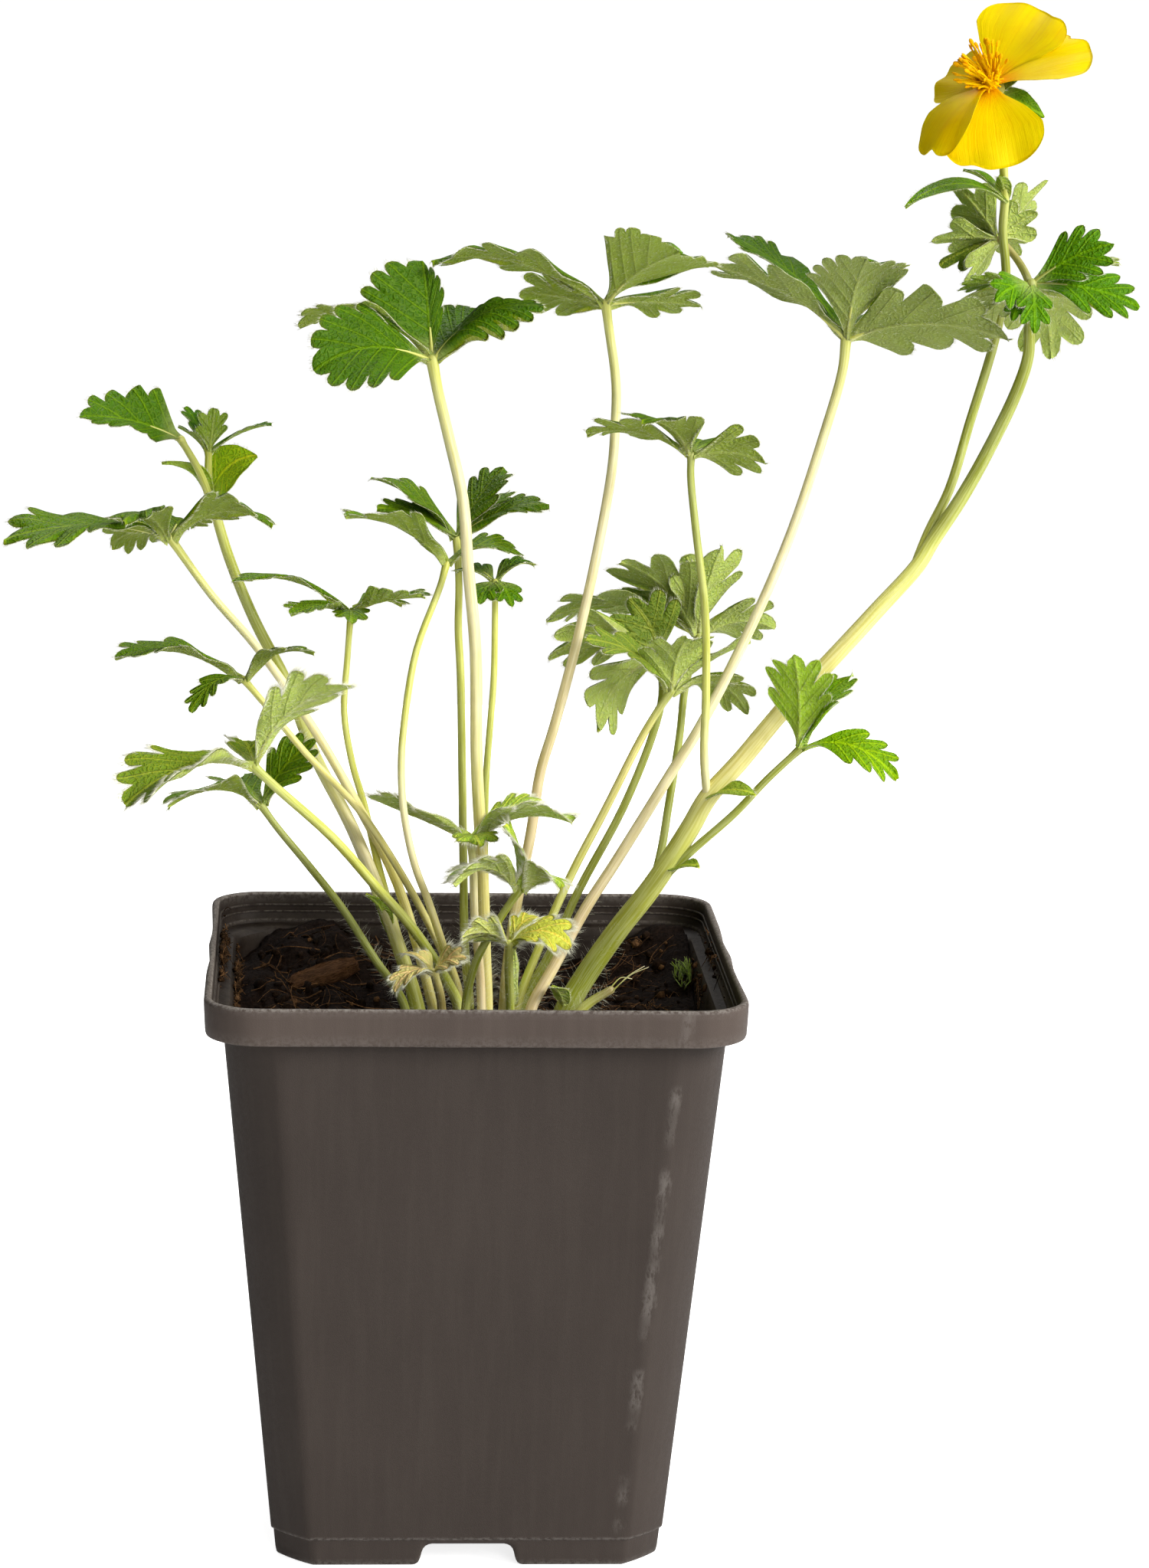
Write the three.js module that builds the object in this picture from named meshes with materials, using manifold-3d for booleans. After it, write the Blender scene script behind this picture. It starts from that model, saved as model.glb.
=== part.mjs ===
// A flowering cinquefoil growing in a square nursery pot.
// Sizes are in millimetres. X runs to the right, Y away from the viewer and Z up.
// While it is built, the pot stands with the middle of its underside at the origin.
import * as THREE from 'three';
import Module from 'manifold-3d';

const kernel = await Module();
kernel.setup();

// The pot.
const POT_HEIGHT = 100;
const RIM_HALF = 45;
const RIM_BAND = 6.5;
const BODY_TOP_HALF = 41.8;
const BASE_HALF = 32.9;
const WALL = 1.3;
const FOOT_STEP = 4.8;
const FLOOR_UNDER = 4;
const FLOOR_TOP = 5.3;
const NOTCH_HEIGHT = 3.8;
const NOTCH_WIDTH = 16;
const DRAIN_RADIUS = 3.2;

// The soil and what stands in it.
const SOIL_GAP = 0.15;
const SOIL_LEVEL = 86;
const STEM_CLEARANCE = 0.3;

// Leaves and petals.
const BLADE_THICKNESS = 0.7;
const PETAL_THICKNESS = 0.65;
const BROADEST_AT = 0.64;
const TOOTH_DEPTH = 0.27;
const TOOTHED_FROM = 0.34;
const FOOT_REACH = 0.6;
const CROWN_SWELL = 0.85;
const SLIVER = 0.03;

// Each basal leaf: its stalk from the soil up to the crown where the leaflets meet, the
// stalk's radius at the foot and at the crown, and its leaflets. A leaflet gives its
// tip seen from the crown, its width, how far it bows up, its turn about the midrib in
// degrees, the further twist toward its tip, how far its two halves fold up and, where
// it isn't the usual one, the share of its length where it is broadest.
const LEAVES = {
  leaf_far_left: {
    stalk: [
      [-4.5, 9.5, 80], [-6.5, 9, 89.5], [-12.5, 6, 110], [-20, 2, 125.5], [-28.5, -1, 140.5],
      [-37, -4, 153], [-44.5, -6, 162], [-51.5, -8, 172],
    ],
    radius: [0.95, 0.65],
    leaflets: [
      [[-27, -13, 1], 14, 2.5, 20, -50, 10],
      [[-10, 9, -2.5], 10, 2, 35, 0, 8],
      [[17, -6, 3], 12, 3.5, -25, 0, 12],
      [[3, 14, 0], 10, 2, 0, 0, 10],
      [[-7, -14, 4.5], 10, 2.5, 10, 0, 10],
    ],
  },
  leaf_left_mid: {
    stalk: [
      [-8.5, 7.5, 80], [-9.5, 7, 88.5], [-12, 7, 99.5], [-15.5, 6, 112], [-18.5, 5, 124.5],
      [-20.5, 4, 131.5], [-22, 4, 140.5], [-21.5, 5, 150], [-21, 6, 157.5],
    ],
    radius: [0.75, 0.5],
    leaflets: [
      [[-20, -4, 5.5], 8, 3, 5, 0, 10],
      [[12, -10, 4.5], 10, 0.7, -12, 0, 15],
      [[-10, -12, 1], 8, 1.5, 0, 0, 10],
      [[0, -9, -0.5], 6, 1, 0, 0, 5],
      [[9, 8, 0.5], 8, 1.5, 0, 0, 10],
    ],
  },
  leaf_left_low: {
    stalk: [
      [-0.5, 5, 80], [-1.5, 4.5, 88.5], [-3.5, 3, 96], [-7, 0, 104], [-13, -4, 115.5],
      [-19.5, -6, 125.5], [-28.5, -8, 135.5], [-36, -8, 144.5], [-39, -8, 148],
    ],
    radius: [0.75, 0.55],
    leaflets: [
      [[-21, -8, 4.5], 11, 3, 0, 0, 12],
      [[11.5, -6, 5.5], 8, 2.5, -10, 0, 12],
      [[-8.5, -14, -3], 5, 2.5, 0, 0, 10],
    ],
  },
  leaf_front_left: {
    stalk: [
      [-1.5, -6, 80], [-2, -6, 91], [-4.5, -7, 96.5], [-10, -10, 105.5], [-16.5, -15, 114],
      [-24, -20, 123.5], [-33.5, -25, 133], [-37, -26, 136.5],
    ],
    radius: [1.0, 0.75],
    leaflets: [
      [[15.5, -5, 14.5], 11, 3.5, -40, 0, 20],
      [[-20.5, -17, -3.5], 15, 3.5, 10, -35, 10],
      [[-2, 9, 2.5], 7, 1, 0, 0, 10],
    ],
  },
  leaf_low_left: {
    stalk: [
      [-10.5, 1, 80], [-11, 1, 89], [-13, 1, 93], [-16, 2, 97], [-22, 4, 106],
      [-28, 5, 113.5], [-33.5, 6, 120], [-36, 6, 123.5],
    ],
    radius: [0.85, 0.6],
    leaflets: [
      [[-15.5, -12, 2], 11, 3.5, 20, 0, 10],
      [[9, 0, 12.5], 8, 1, 0, 0, 12],
      [[-7, 14, 1], 9, 2, 0, 0, 10],
    ],
  },
  leaf_dark: {
    stalk: [
      [3, 0, 80], [3, -1, 90], [2.5, -2, 99.5], [2, -3, 111], [1.5, -4, 119], [0.5, -5, 134],
      [0, -5.5, 153], [-1.5, -6, 167.5], [-2.5, -6, 178.5], [-5, -6, 189], [-7, -6, 197],
      [-8, -6, 202],
    ],
    radius: [1.15, 0.9],
    leaflets: [
      [[-19, -10, -1], 17, 3, -45, 0, 8],
      [[-7.5, 8, 14.5], 17, 1, 0, 0, 10],
      [[18, -5, 9.5], 10, 3.2, 12, 0, 10],
      [[9, 11, 7], 13, 1, 0, 0, 10],
      [[-22, 8, 4.5], 12, 5, 10, 0, 10],
    ],
  },
  leaf_top_centre: {
    stalk: [
      [6, 9.5, 80], [6.5, 9, 87.5], [7, 9, 95], [8.5, 8, 107], [10.5, 7, 118.5], [12, 6, 130],
      [14, 5, 137.5], [17.5, 3, 152.5], [20.5, 2, 167.5], [23, 3, 182.5], [23.5, 4, 189.5],
      [23.5, 4, 197.5], [22, 4, 207.5], [21.5, 4, 211],
    ],
    radius: [1.0, 0.75],
    leaflets: [
      [[-30, -6, 7.2], 12, 3.4, 18, 0, 8],
      [[13, -16, 9.5], 22, 2.5, -20, 0, 12],
      [[-14, 7, 1], 12, 2, 45, 0, 5],
      [[16.5, 8, -0.5], 11, 1.5, -32, 0, 5],
    ],
  },
  leaf_top_right: {
    stalk: [
      [10, -2, 80], [10.5, -1.5, 89], [14.5, -1, 97], [20, -0.5, 107.5], [25, 0, 115.5],
      [34.5, 0.5, 131.5], [39, 1, 139], [47.5, 2, 156.5], [54, 3, 172.5], [59, 4, 188.5],
      [62, 4, 200], [62.5, 4, 205.5],
    ],
    radius: [1.05, 0.8],
    leaflets: [
      [[-25, -2, 12.5], 12, 2.5, 25, 0, 10],
      [[1.5, -14, 15], 17, 2, 0, 0, 10],
      [[26, -10.5, 1], 15, 3.2, -55, 10, 5, 0.42],
      [[-19, 16, 16], 9, 2.5, 0, 0, 10],
      [[5, 14, 1.5], 11, 2.5, 0, 0, 10],
    ],
  },
  leaf_centre_lower: {
    stalk: [
      [7.5, 1.5, 80], [8.5, 1.5, 89.5], [12, 2, 99.5], [17.5, 3, 112.5], [23, 3.5, 123.5],
      [29, 4, 136], [31.5, 4, 140.5], [34, 4, 144.5],
    ],
    radius: [0.8, 0.65],
    leaflets: [
      [[2, -7, 10.5], 14, 1.5, 0, 0, 8],
      [[14, 6, 7.5], 9, 1.5, -20, 0, 10],
      [[14, 7, -5], 10, 4, -30, 0, 5],
      [[-15, -9, 10.5], 9, 2, -30, 0, 10],
    ],
    sheath: [[8.3, 1.2, 90], [-1, -3, 12], 3.5, 0.5, 80, 0, 12],
  },
  leaf_centre_mid: {
    stalk: [
      [9, 5.5, 80], [9.5, 5, 88.5], [14.5, 5.5, 98.5], [19, 6, 109], [26.5, 7, 123.5],
      [31.5, 8, 136.5], [33, 9, 143], [32.5, 9.5, 149.5],
    ],
    radius: [0.8, 0.65],
    leaflets: [
      [[-19, 5, -1], 16, 3.5, 40, 0, 5],
      [[-5.5, 0, 10], 13, 1, -85, 0, 8],
      [[-11, -5, -12], 12, 3, 75, 0, 5],
    ],
  },
  leaf_low_centre: {
    stalk: [
      [2, -4.5, 80], [2, -4.5, 90.5], [1.5, -5.5, 98.5], [0.5, -7, 106.5], [0, -9, 116.5],
      [-0.5, -9.5, 121],
    ],
    radius: [0.8, 0.65],
    leaflets: [
      [[-17, 0.5, 7.5], 11, 0, 15, 0, 10],
      [[16.5, -8, 4.5], 13, 3, -15, 0, 10],
      [[12, 4.5, 6], 8, 1.5, 0, 0, 10],
      [[1, -9, 1.5], 8, 1, 0, 0, 10],
    ],
  },
  leaf_small_centre: {
    stalk: [
      [-1, -10.5, 80], [-1, -11, 91.5], [-0.5, -12.5, 96.5], [1, -14, 102], [4.5, -16, 109],
      [7.5, -17, 114],
    ],
    radius: [0.8, 0.65],
    leaflets: [
      [[-10.5, -5, 1.5], 9, 3.5, 10, 0, 10],
      [[-1.5, -1, 11.5], 6, 1, 0, 0, 10],
      [[7, -4, 1.5], 8, 2.5, -10, 0, 10],
    ],
  },
  leaf_yellow: {
    stalk: [[6.5, -12, 80], [6.5, -14, 92.5], [6, -17, 100.5], [6, -18.5, 105]],
    radius: [0.8, 0.7],
    leaflets: [
      [[10, -5, 1], 9, 2.5, 20, 0, 10],
      [[-7.5, -3, 2.5], 5.5, 1.5, 10, 0, 10],
      [[5, 5, 3.5], 5, 1.5, 0, 0, 10],
    ],
  },
  leaf_dry: {
    stalk: [[-4.5, -9, 80], [-5, -11, 91.5], [-5.5, -13, 95.5], [-6.5, -14.5, 99]],
    radius: [0.8, 0.7],
    leaflets: [
      [[-6.5, -5, -2], 5, 2, 0, 0, 20],
      [[4, -3, 3.5], 5, 1, 0, 0, 20],
      [[-5, 1, 3], 5, 1, 0, 0, 20],
    ],
  },
  leaf_centre_back: {
    stalk: [
      [0.5, 10, 80], [0.5, 9, 87.5], [-0.5, 8.5, 97.5], [-1, 8, 112.5], [-1.5, 8, 130.5],
      [-2, 8, 146.5], [-2.5, 8, 154.5], [-2.5, 8, 162.5], [-3, 8, 170],
    ],
    radius: [0.8, 0.6],
    leaflets: [
      [[-14.5, 3, 10], 10, 1.5, 0, 0, 10],
      [[-13.5, -2, 5.5], 9, 1.5, -15, 0, 10],
      [[8, 7, 11.5], 10, 1, 0, 0, 10],
      [[15.5, -1, 6], 9, 2, 10, 0, 10],
      [[9, 10, 6.5], 8, 1.5, 0, 0, 10],
    ],
  },
  leaf_centre_left: {
    stalk: [
      [-1.5, -2, 80], [-1.5, -2, 89.5], [-2, -3, 93.5], [-4.5, -6.5, 101], [-7.5, -11, 110.5],
      [-10, -13.5, 117.5], [-12, -15.5, 127], [-12.5, -14, 134.5], [-12, -10.5, 141.5],
      [-10, -6, 153], [-6, -2.5, 163.5], [-5, -1, 167],
    ],
    radius: [0.75, 0.55],
    leaflets: [
      [[-17, -9, 8.5], 12, 3, 10, 0, 10],
      [[13, 1.5, 1.5], 8, 2.5, 10, 0, 10],
    ],
  },
  leaf_hidden: {
    stalk: [
      [3.5, 6.5, 80], [3.5, 6, 88], [3, 5.5, 104], [2.5, 5, 117.5], [2.5, 4, 128.5],
      [3, 3, 138], [3.5, 2, 147.5], [3.5, 2, 160], [3.5, 2, 163.5],
    ],
    radius: [0.7, 0.5],
    leaflets: [
      [[-3, -6, -2.5], 6, 1, 0, 0, 5],
      [[2.5, -6, -3], 6, 1, 0, 0, 5],
      [[6.5, 3, 2.5], 7, 1.5, 0, 0, 10],
      [[-6, 5, 1], 7, 1.5, 0, 0, 10],
    ],
  },
};

// The leafy shoot at the left: its stem, a leaf and a tuft at the top, and bracts.
const SHOOT_STEM = [
  [-7, 3, 80], [-9, 2.5, 89.5], [-11, 3, 96], [-15, 4, 107], [-20.5, 6, 120], [-27, 9, 132],
  [-32, 11, 144.5], [-37.5, 12, 155], [-42, 12, 166], [-45, 12, 176],
];
const SHOOT_RADIUS = [1.35, 0.85];
const SHOOT_LEAF_STALK = [[-45, 12, 175.5], [-47, 9, 181], [-50, 4, 187]];
const SHOOT_LEAF = [
  [[-16.5, -6, 4], 10.5, 1.5, -60, 35, 8, 0.45],
  [[-9, 9, 1.5], 8, 1.5, 0, 0, 10],
];
const SHOOT_TUFT_STALK = [[-45, 12, 175.5], [-45.5, 12, 180], [-45.5, 12, 184]];
const SHOOT_TUFT = [
  [[-5, 1, 4], 5, 0.5, 20, 0, 10],
  [[1, -2, 7.5], 6, 0, 0, 0, 10],
  [[10.5, -2, 5], 5, 1, 0, 0, 10],
  [[-4, 4, 7], 5, 0.5, 0, 0, 10],
];
const SHOOT_BRACTS = [
  [[-45, 12, 176], [8, -4, 8], 8, 2, 40, 0, 12],
  [[-45, 12, 176], [-8.5, -4, 6.5], 4.5, 2, 20, 0, 15],
  [[-14, 3.5, 102], [-4, -1, 7], 4, 1, 30, 0, 15],
];

// The flowering stem, its two upper branches and the leaves along it.
const FLOWER_STEM = [
  [14, 1, 80], [17, 0, 89.5], [20.5, -0.5, 96], [25.5, -2, 104], [31, -4, 112],
  [37, -6, 122.5], [40, -6, 128], [45.5, -6, 134.5], [52.5, -5, 143], [60.5, -4, 151.5],
  [68.5, -2, 160], [75.5, 0, 167.5], [78, 1, 171.5],
];
const FLOWER_STEM_RADIUS = [2.0, 1.1];
const FLOWER_STALK = [
  [78, 1, 171], [81, 4, 180], [84.5, 7, 191], [89, 10, 206], [90.5, 11, 215.5],
  [89.5, 10, 224], [89.5, 9, 229], [89, 8, 234], [88.5, 7.5, 241], [87, 7, 245.5],
];
const FLOWER_STALK_RADIUS = [0.85, 0.7];
const LEAFY_BRANCH = [
  [78, 1, 171], [82.5, 0, 179], [86.5, -1, 187], [91, -3, 198], [92.5, -4, 204],
  [92.5, -4, 209], [92.5, -4, 216],
];
const LEAFY_BRANCH_RADIUS = [0.9, 0.75];
const BRANCH_LEAVES = [
  [[13, -3, 7], 10, 1, 60, 0, 6],
  [[18, -3, -3.5], 9.5, 1.5, 50, 0, 5],
  [[16, 8, 3], 8, 1, -20, 0, 8],
  [[5, 7, -13], 14, 2, -20, 0, 5],
  [[-8.5, 7, -11], 13, 2.5, 20, 0, 5],
  [[-11.5, 4, -1.5], 5.5, 1, 30, 0, 5],
  [[-6.5, -5, -2.5], 7, 1, -50, 0, 5],
  [[0, -6, -7.5], 6, 1.5, 0, 0, 5],
  [[-3.5, -4.5, -5.5], 4.5, 0.5, -30, 0, 5],
];
const CLUSTER_STALK = [[92.5, -3, 214], [93.5, 6, 216], [92.5, 14, 219], [90, 17, 222]];
const CLUSTER_LEAVES = [
  [[-8, 2, 9], 9, 0.5, 70, 0, 6],
  [[-7.5, 6, 4], 7, 0.5, -60, 0, 6],
  [[-11.5, 0, -0.5], 7, 0.5, 50, 0, 6],
  [[-9.5, 3, -5], 7, 0.5, -50, 0, 5],
  [[-5, 0, -8], 8, 0.5, 40, 0, 5],
  [[6, -1, 4.5], 8, 0.5, -70, 0, 6],
  [[8.5, 4, 9.5], 7, 0.5, -70, 0, 6],
  [[4, 3, -3], 6, 0.5, -30, 0, 5],
];
const MID_LEAF_STALK = [
  [40, -6, 127], [39, -8, 136], [39, -9, 145.5], [38.5, -9, 160.5], [36.5, -9, 175],
  [35.5, -9, 183.5], [35.5, -9, 187],
];
const MID_LEAF = [
  [[-9, -9, 7], 15, 2, 0, 0, 10],
  [[-17, 6, 2.5], 10, 2.5, 25, 0, 8],
  [[12, -3, -1], 10, 1.5, -55, 0, 5],
  [[4, 12, 0], 9, 1.5, 0, 0, 10],
];
const UPPER_LEAF_STALK = [
  [31, -4, 112], [33, 3, 117], [34.5, 8, 124], [36.5, 13, 135], [37.5, 16, 143],
  [39, 16, 149.5], [39.5, 16, 152.5],
];
const UPPER_LEAF = [
  [[-14, -7, 13.5], 16, 2, 30, 0, 8],
  [[3, -5, 16], 15, 1, 0, 0, 8],
  [[-26, 4, 1.5], 13, 4.5, 25, 0, 5],
  [[13.5, 3, 0.5], 12, 2, -45, 0, 5],
];
const LOW_LEAF_STALK = [
  [33, -5, 114], [37.5, -7, 119], [44.5, -9, 126], [49.5, -10.5, 132], [55, -11, 137.5],
];
const LOW_LEAF = [
  [[-2, -4, 16.5], 13, 1.5, 0, 0, 10],
  [[9, 4, 12], 12, 1.5, 0, 0, 8],
  [[15.5, -8, -3.5], 10, 4, -20, 0, 5],
];
const THIN_STALK_RADIUS = [0.75, 0.6];
const STEM_BRACTS = [
  [[40, -6, 128], [7.5, -8, 2], 5, 1, 20, 0, 10],
  [[34, -5, 115], [4.5, -6, 2], 4, 0.5, 20, 0, 10],
  [[89.5, 9, 229], [-18.5, -10, -1], 4.5, 3.4, -20, 0, 5],
  [[89.5, 9, 229], [-7, 3, 5], 4.5, 1, 0, 0, 10],
  [[89.5, 9, 229], [-1.5, -3, 4.5], 3, 0.5, 0, 0, 10],
  [[16.5, -1.5, 90.5], [-2.5, -5, 4.5], 3.5, 0.5, 0, 0, 10],
];

// The flower.
const FLOWER_CENTRE = [86, 6, 248.5];
const FLOWER_FACES = [-0.35, -0.75, 0.55];
const PETALS = [
  [[8.5, 8, 12.5], 16, 1, 0, 0, 6],
  [[16.5, -1, 6], 14, 1.5, -20, 0, 6],
  [[0.5, -9, -13.5], 18, 2, 0, 0, 4],
  [[-10, -4, -12], 14, 3.5, 30, 0, 8],
  [[-6.5, 10, 0.5], 12, 1, 0, 0, 6],
];
const SEPALS = [
  [[-5, -6.5, -9], 5, 0.5, 0, 0, 5],
  [[9.5, -2, -3.5], 5, 0.5, 0, 0, 5],
  [[8.5, 5, 8], 5, 0.5, 0, 0, 5],
  [[1, 8.5, 5], 4.5, 0, 0, 0, 5],
  [[-8, 3.5, -6.5], 4.5, 0, 0, 0, 5],
];
const STAMEN_COUNT = 16;
const STAMEN_RADIUS = 0.35;
const ANTHER_RADIUS = 0.55;
const STAMEN_LENGTH = 6.5;
const DISC_RADIUS = 1.7;
const DISC_RISE = 2.6;
const EYE_TOP = DISC_RISE - 0.55;
const EYE_FOOT = -0.4;

// Loose things on and in the soil.
const STUB = [[18.5, -6, 80], [18.5, -6, 89.5], [20.5, -6.5, 92], [24, -7.5, 94.5]];
const STUB_RADIUS = [1.3, 1.2];
const BARK_CHIP = { size: [12, 5, 2], at: [-25, 15, 91.5], turn: [25, -14, 12] };

const SLOTS = {
  pot: { color: 0x4e4641, roughness: 0.55 },
  soil: { color: 0x2a1d15, roughness: 0.95 },
  bark: { color: 0x4a2f1d, roughness: 0.9 },
  leaf: { color: 0x4f7a2a, roughness: 0.6 },
  leaf_yellow: { color: 0xb5b544, roughness: 0.65 },
  leaf_dry: { color: 0xc2b27a, roughness: 0.8 },
  stem: { color: 0x9aa64a, roughness: 0.55 },
  petal: { color: 0xffd800, roughness: 0.5 },
  stamen: { color: 0xf0a010, roughness: 0.6 },
};

const degrees = Math.PI / 180;
const point = (values) => new THREE.Vector3(...values);

// A closed solid from corner points and triangles, turned outward if needed.
function solidFrom(points, triangles) {
  const build = (faces) => new kernel.Manifold(new kernel.Mesh({
    numProp: 3,
    vertProperties: new Float32Array(points.flatMap((p) => [p.x, p.y, p.z])),
    triVerts: new Uint32Array(faces.flat()),
  }));
  const solid = build(triangles);
  if (solid.volume() > 0) return solid;
  return build(triangles.map(([a, b, c]) => [a, c, b]));
}

// Joins solids that overlap and drops the slivers that joining leaves.
function fuse(solids) {
  const whole = solids.reduce((joined, solid) => joined.add(solid));
  return whole.asOriginal().simplify(SLIVER);
}

// Skins a stack of closed rings that all have the same number of points.
function loft(rings) {
  const count = rings[0].length;
  const points = rings.flat();
  const triangles = [];
  for (let r = 0; r + 1 < rings.length; r += 1) {
    for (let i = 0; i < count; i += 1) {
      const next = (i + 1) % count;
      const a = r * count + i;
      const b = r * count + next;
      triangles.push([a, b, b + count], [a, b + count, a + count]);
    }
  }
  const last = (rings.length - 1) * count;
  for (let i = 1; i + 1 < count; i += 1) {
    triangles.push([0, i + 1, i], [last, last + i, last + i + 1]);
  }
  return solidFrom(points, triangles);
}

function curveThrough(rows) {
  return new THREE.CatmullRomCurve3(rows.map(point), false, 'centripetal');
}

// A tapering round stalk along the given points.
function stalk(rows, [footRadius, topRadius], extra = 0, sides = footRadius > 1 ? 6 : 5) {
  const curve = curveThrough(rows);
  const steps = rows.length > 2 ? rows.length : 1;
  const rings = [];
  let across = new THREE.Vector3(1, 0, 0);
  for (let s = 0; s <= steps; s += 1) {
    const t = s / steps;
    const middle = curve.getPoint(t);
    const along = curve.getTangent(t);
    across = across.addScaledVector(along, -across.dot(along)).normalize();
    const other = new THREE.Vector3().crossVectors(along, across);
    const radius = footRadius + (topRadius - footRadius) * t + extra;
    rings.push(Array.from({ length: sides }, (unused, i) => {
      const angle = (i / sides) * 2 * Math.PI;
      return middle.clone()
        .addScaledVector(across, radius * Math.cos(angle))
        .addScaledVector(other, radius * Math.sin(angle));
    }));
  }
  return loft(rings);
}

// A small rounded body, used where leaflets meet.
function knob(centre, radius) {
  const corners = [
    [1, 0, 0], [-1, 0, 0], [0, 1, 0], [0, -1, 0], [0, 0, 1], [0, 0, -1],
  ].map((row) => point(row).multiplyScalar(radius).add(centre));
  const triangles = [
    [0, 2, 4], [2, 1, 4], [1, 3, 4], [3, 0, 4], [2, 0, 5], [1, 2, 5], [3, 1, 5], [0, 3, 5],
  ];
  return solidFrom(corners, triangles);
}

// A thin closed body around an open sheet given as rows of points that run across it.
// Neighbouring rows may share points. Both faces carry the same triangles.
function thicken(rows, thickness) {
  const sheet = [...new Set(rows.flat())];
  const numbered = rows.map((row) => row.map((p) => sheet.indexOf(p)));
  const faces = [];
  for (let r = 0; r + 1 < rows.length; r += 1) {
    for (let i = 0; i + 1 < rows[r].length; i += 1) {
      const [a, b] = [numbered[r][i], numbered[r][i + 1]];
      const [d, c] = [numbered[r + 1][i], numbered[r + 1][i + 1]];
      faces.push([a, b, c], [a, c, d]);
    }
  }
  const kept = faces.filter((face) => new Set(face).size === 3);
  const normals = sheet.map(() => new THREE.Vector3());
  for (const [a, b, c] of kept) {
    const face = new THREE.Vector3().crossVectors(
      sheet[b].clone().sub(sheet[a]),
      sheet[c].clone().sub(sheet[a]),
    );
    for (const corner of [a, b, c]) normals[corner].add(face);
  }
  normals.forEach((normal) => normal.normalize());
  const upper = sheet.map((p, i) => p.clone().addScaledVector(normals[i], thickness / 2));
  const lower = sheet.map((p, i) => p.clone().addScaledVector(normals[i], -thickness / 2));
  const outline = outlineOf(numbered);
  const count = sheet.length;
  const triangles = [...kept, ...kept.map(([a, b, c]) => [a + count, c + count, b + count])];
  outline.forEach((a, i) => {
    const b = outline[(i + 1) % outline.length];
    triangles.push([a, a + count, b + count], [a, b + count, b]);
  });
  return solidFrom([...upper, ...lower], triangles);
}

// The corner numbers around a sheet, in the order its faces run.
function outlineOf(numbered) {
  const inner = numbered.slice(1, -1);
  const around = [
    ...numbered[0],
    ...inner.map((row) => row.at(-1)),
    ...[...numbered.at(-1)].reverse(),
    ...inner.map((row) => row[0]).reverse(),
  ];
  return around.filter((corner, i) => corner !== around[(i + 1) % around.length]);
}

// Where a leaflet's smooth outline runs: distance along the midrib and half width, both
// as shares, for t from the foot (0) to the tip (1).
function outlineAt(t, broadest) {
  if (t < 0.5) {
    const share = t / 0.5;
    return [broadest * share, Math.sin((Math.PI / 2) * share) ** 1.5];
  }
  const turn = (t - 0.5) * Math.PI;
  return [broadest + (1 - broadest) * Math.sin(turn), Math.cos(turn)];
}

// The outline positions that make the teeth, with the position whose vein each follows:
// a tooth's end and the notch after it share one vein.
function toothSteps(teeth) {
  const pitch = (1 - TOOTHED_FROM) / (teeth + 0.5);
  const steps = [[0, 0], [TOOTHED_FROM * 0.55, TOOTHED_FROM * 0.5]];
  for (let k = 0; k < teeth; k += 1) {
    const end = TOOTHED_FROM + pitch * (k + 0.5);
    const notch = TOOTHED_FROM + pitch * (k + 1);
    steps.push([end, end], [notch, end]);
  }
  return steps;
}

// How far a point of the outline is drawn in toward the midrib.
function drawnIn(t, teeth) {
  const pitch = (1 - TOOTHED_FROM) / (teeth + 0.5);
  const phase = (t - TOOTHED_FROM) / pitch;
  if (phase <= 0.5) return 0;
  const inward = 1 - Math.abs(Math.sin(Math.PI * phase)) ** 0.6;
  return TOOTH_DEPTH * inward;
}

// A frame along a bowed and twisted midrib, which turns flat blade positions into space.
function bladeFrame(foot, [tip, width, bow, turn, twist, fold], upward) {
  const reach = point(tip);
  const length = reach.length();
  const along = reach.clone().normalize();
  const face = upward.clone().addScaledVector(along, -upward.dot(along)).normalize();
  return (share, across) => {
    const angle = (turn + twist * share) * degrees;
    const normal = face.clone().applyAxisAngle(along, angle);
    const side = new THREE.Vector3().crossVectors(along, normal);
    const slope = (4 * bow * (1 - 2 * share)) / length;
    const local = face.clone().addScaledVector(along, -slope).normalize()
      .applyAxisAngle(along, angle);
    return foot.clone()
      .addScaledVector(along, length * share)
      .addScaledVector(face, 4 * bow * share * (1 - share))
      .addScaledVector(side, across * Math.cos(fold * degrees))
      .addScaledVector(local, Math.abs(across) * Math.sin(fold * degrees));
  };
}

const UP = new THREE.Vector3(0, 0, 1);

// A toothed leaflet.
function leaflet(foot, spec, upward = UP) {
  const [tip, width, , , , , broadest = BROADEST_AT] = spec;
  const length = point(tip).length();
  const place = bladeFrame(foot, spec, upward);
  const teeth = teethFor(length);
  const slant = Math.min(0.34, (0.45 * width) / length);
  const ribs = new Map();
  let lastRib = -0.02;
  const rows = toothSteps(teeth).map(([t, vein]) => {
    const [share, half] = outlineAt(t, broadest);
    if (!ribs.has(vein)) {
      const [veinShare, veinHalf] = outlineAt(vein, broadest);
      lastRib = Math.max(lastRib + 0.02, veinShare - slant * veinHalf);
      ribs.set(vein, { at: lastRib, spot: place(lastRib, 0) });
    }
    const rib = ribs.get(vein);
    const inward = 1 - drawnIn(t, teeth);
    const reach = Math.max(FOOT_REACH, (half * inward * width) / 2);
    const at = rib.at + (share - rib.at) * inward;
    return [place(at, -reach), rib.spot, place(at, reach)];
  });
  const end = place(1, 0);
  return thicken([...rows, [end, end, end]], BLADE_THICKNESS);
}

function teethFor(length) {
  if (length > 20) return 4;
  return length > 11 ? 3 : 2;
}

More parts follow.
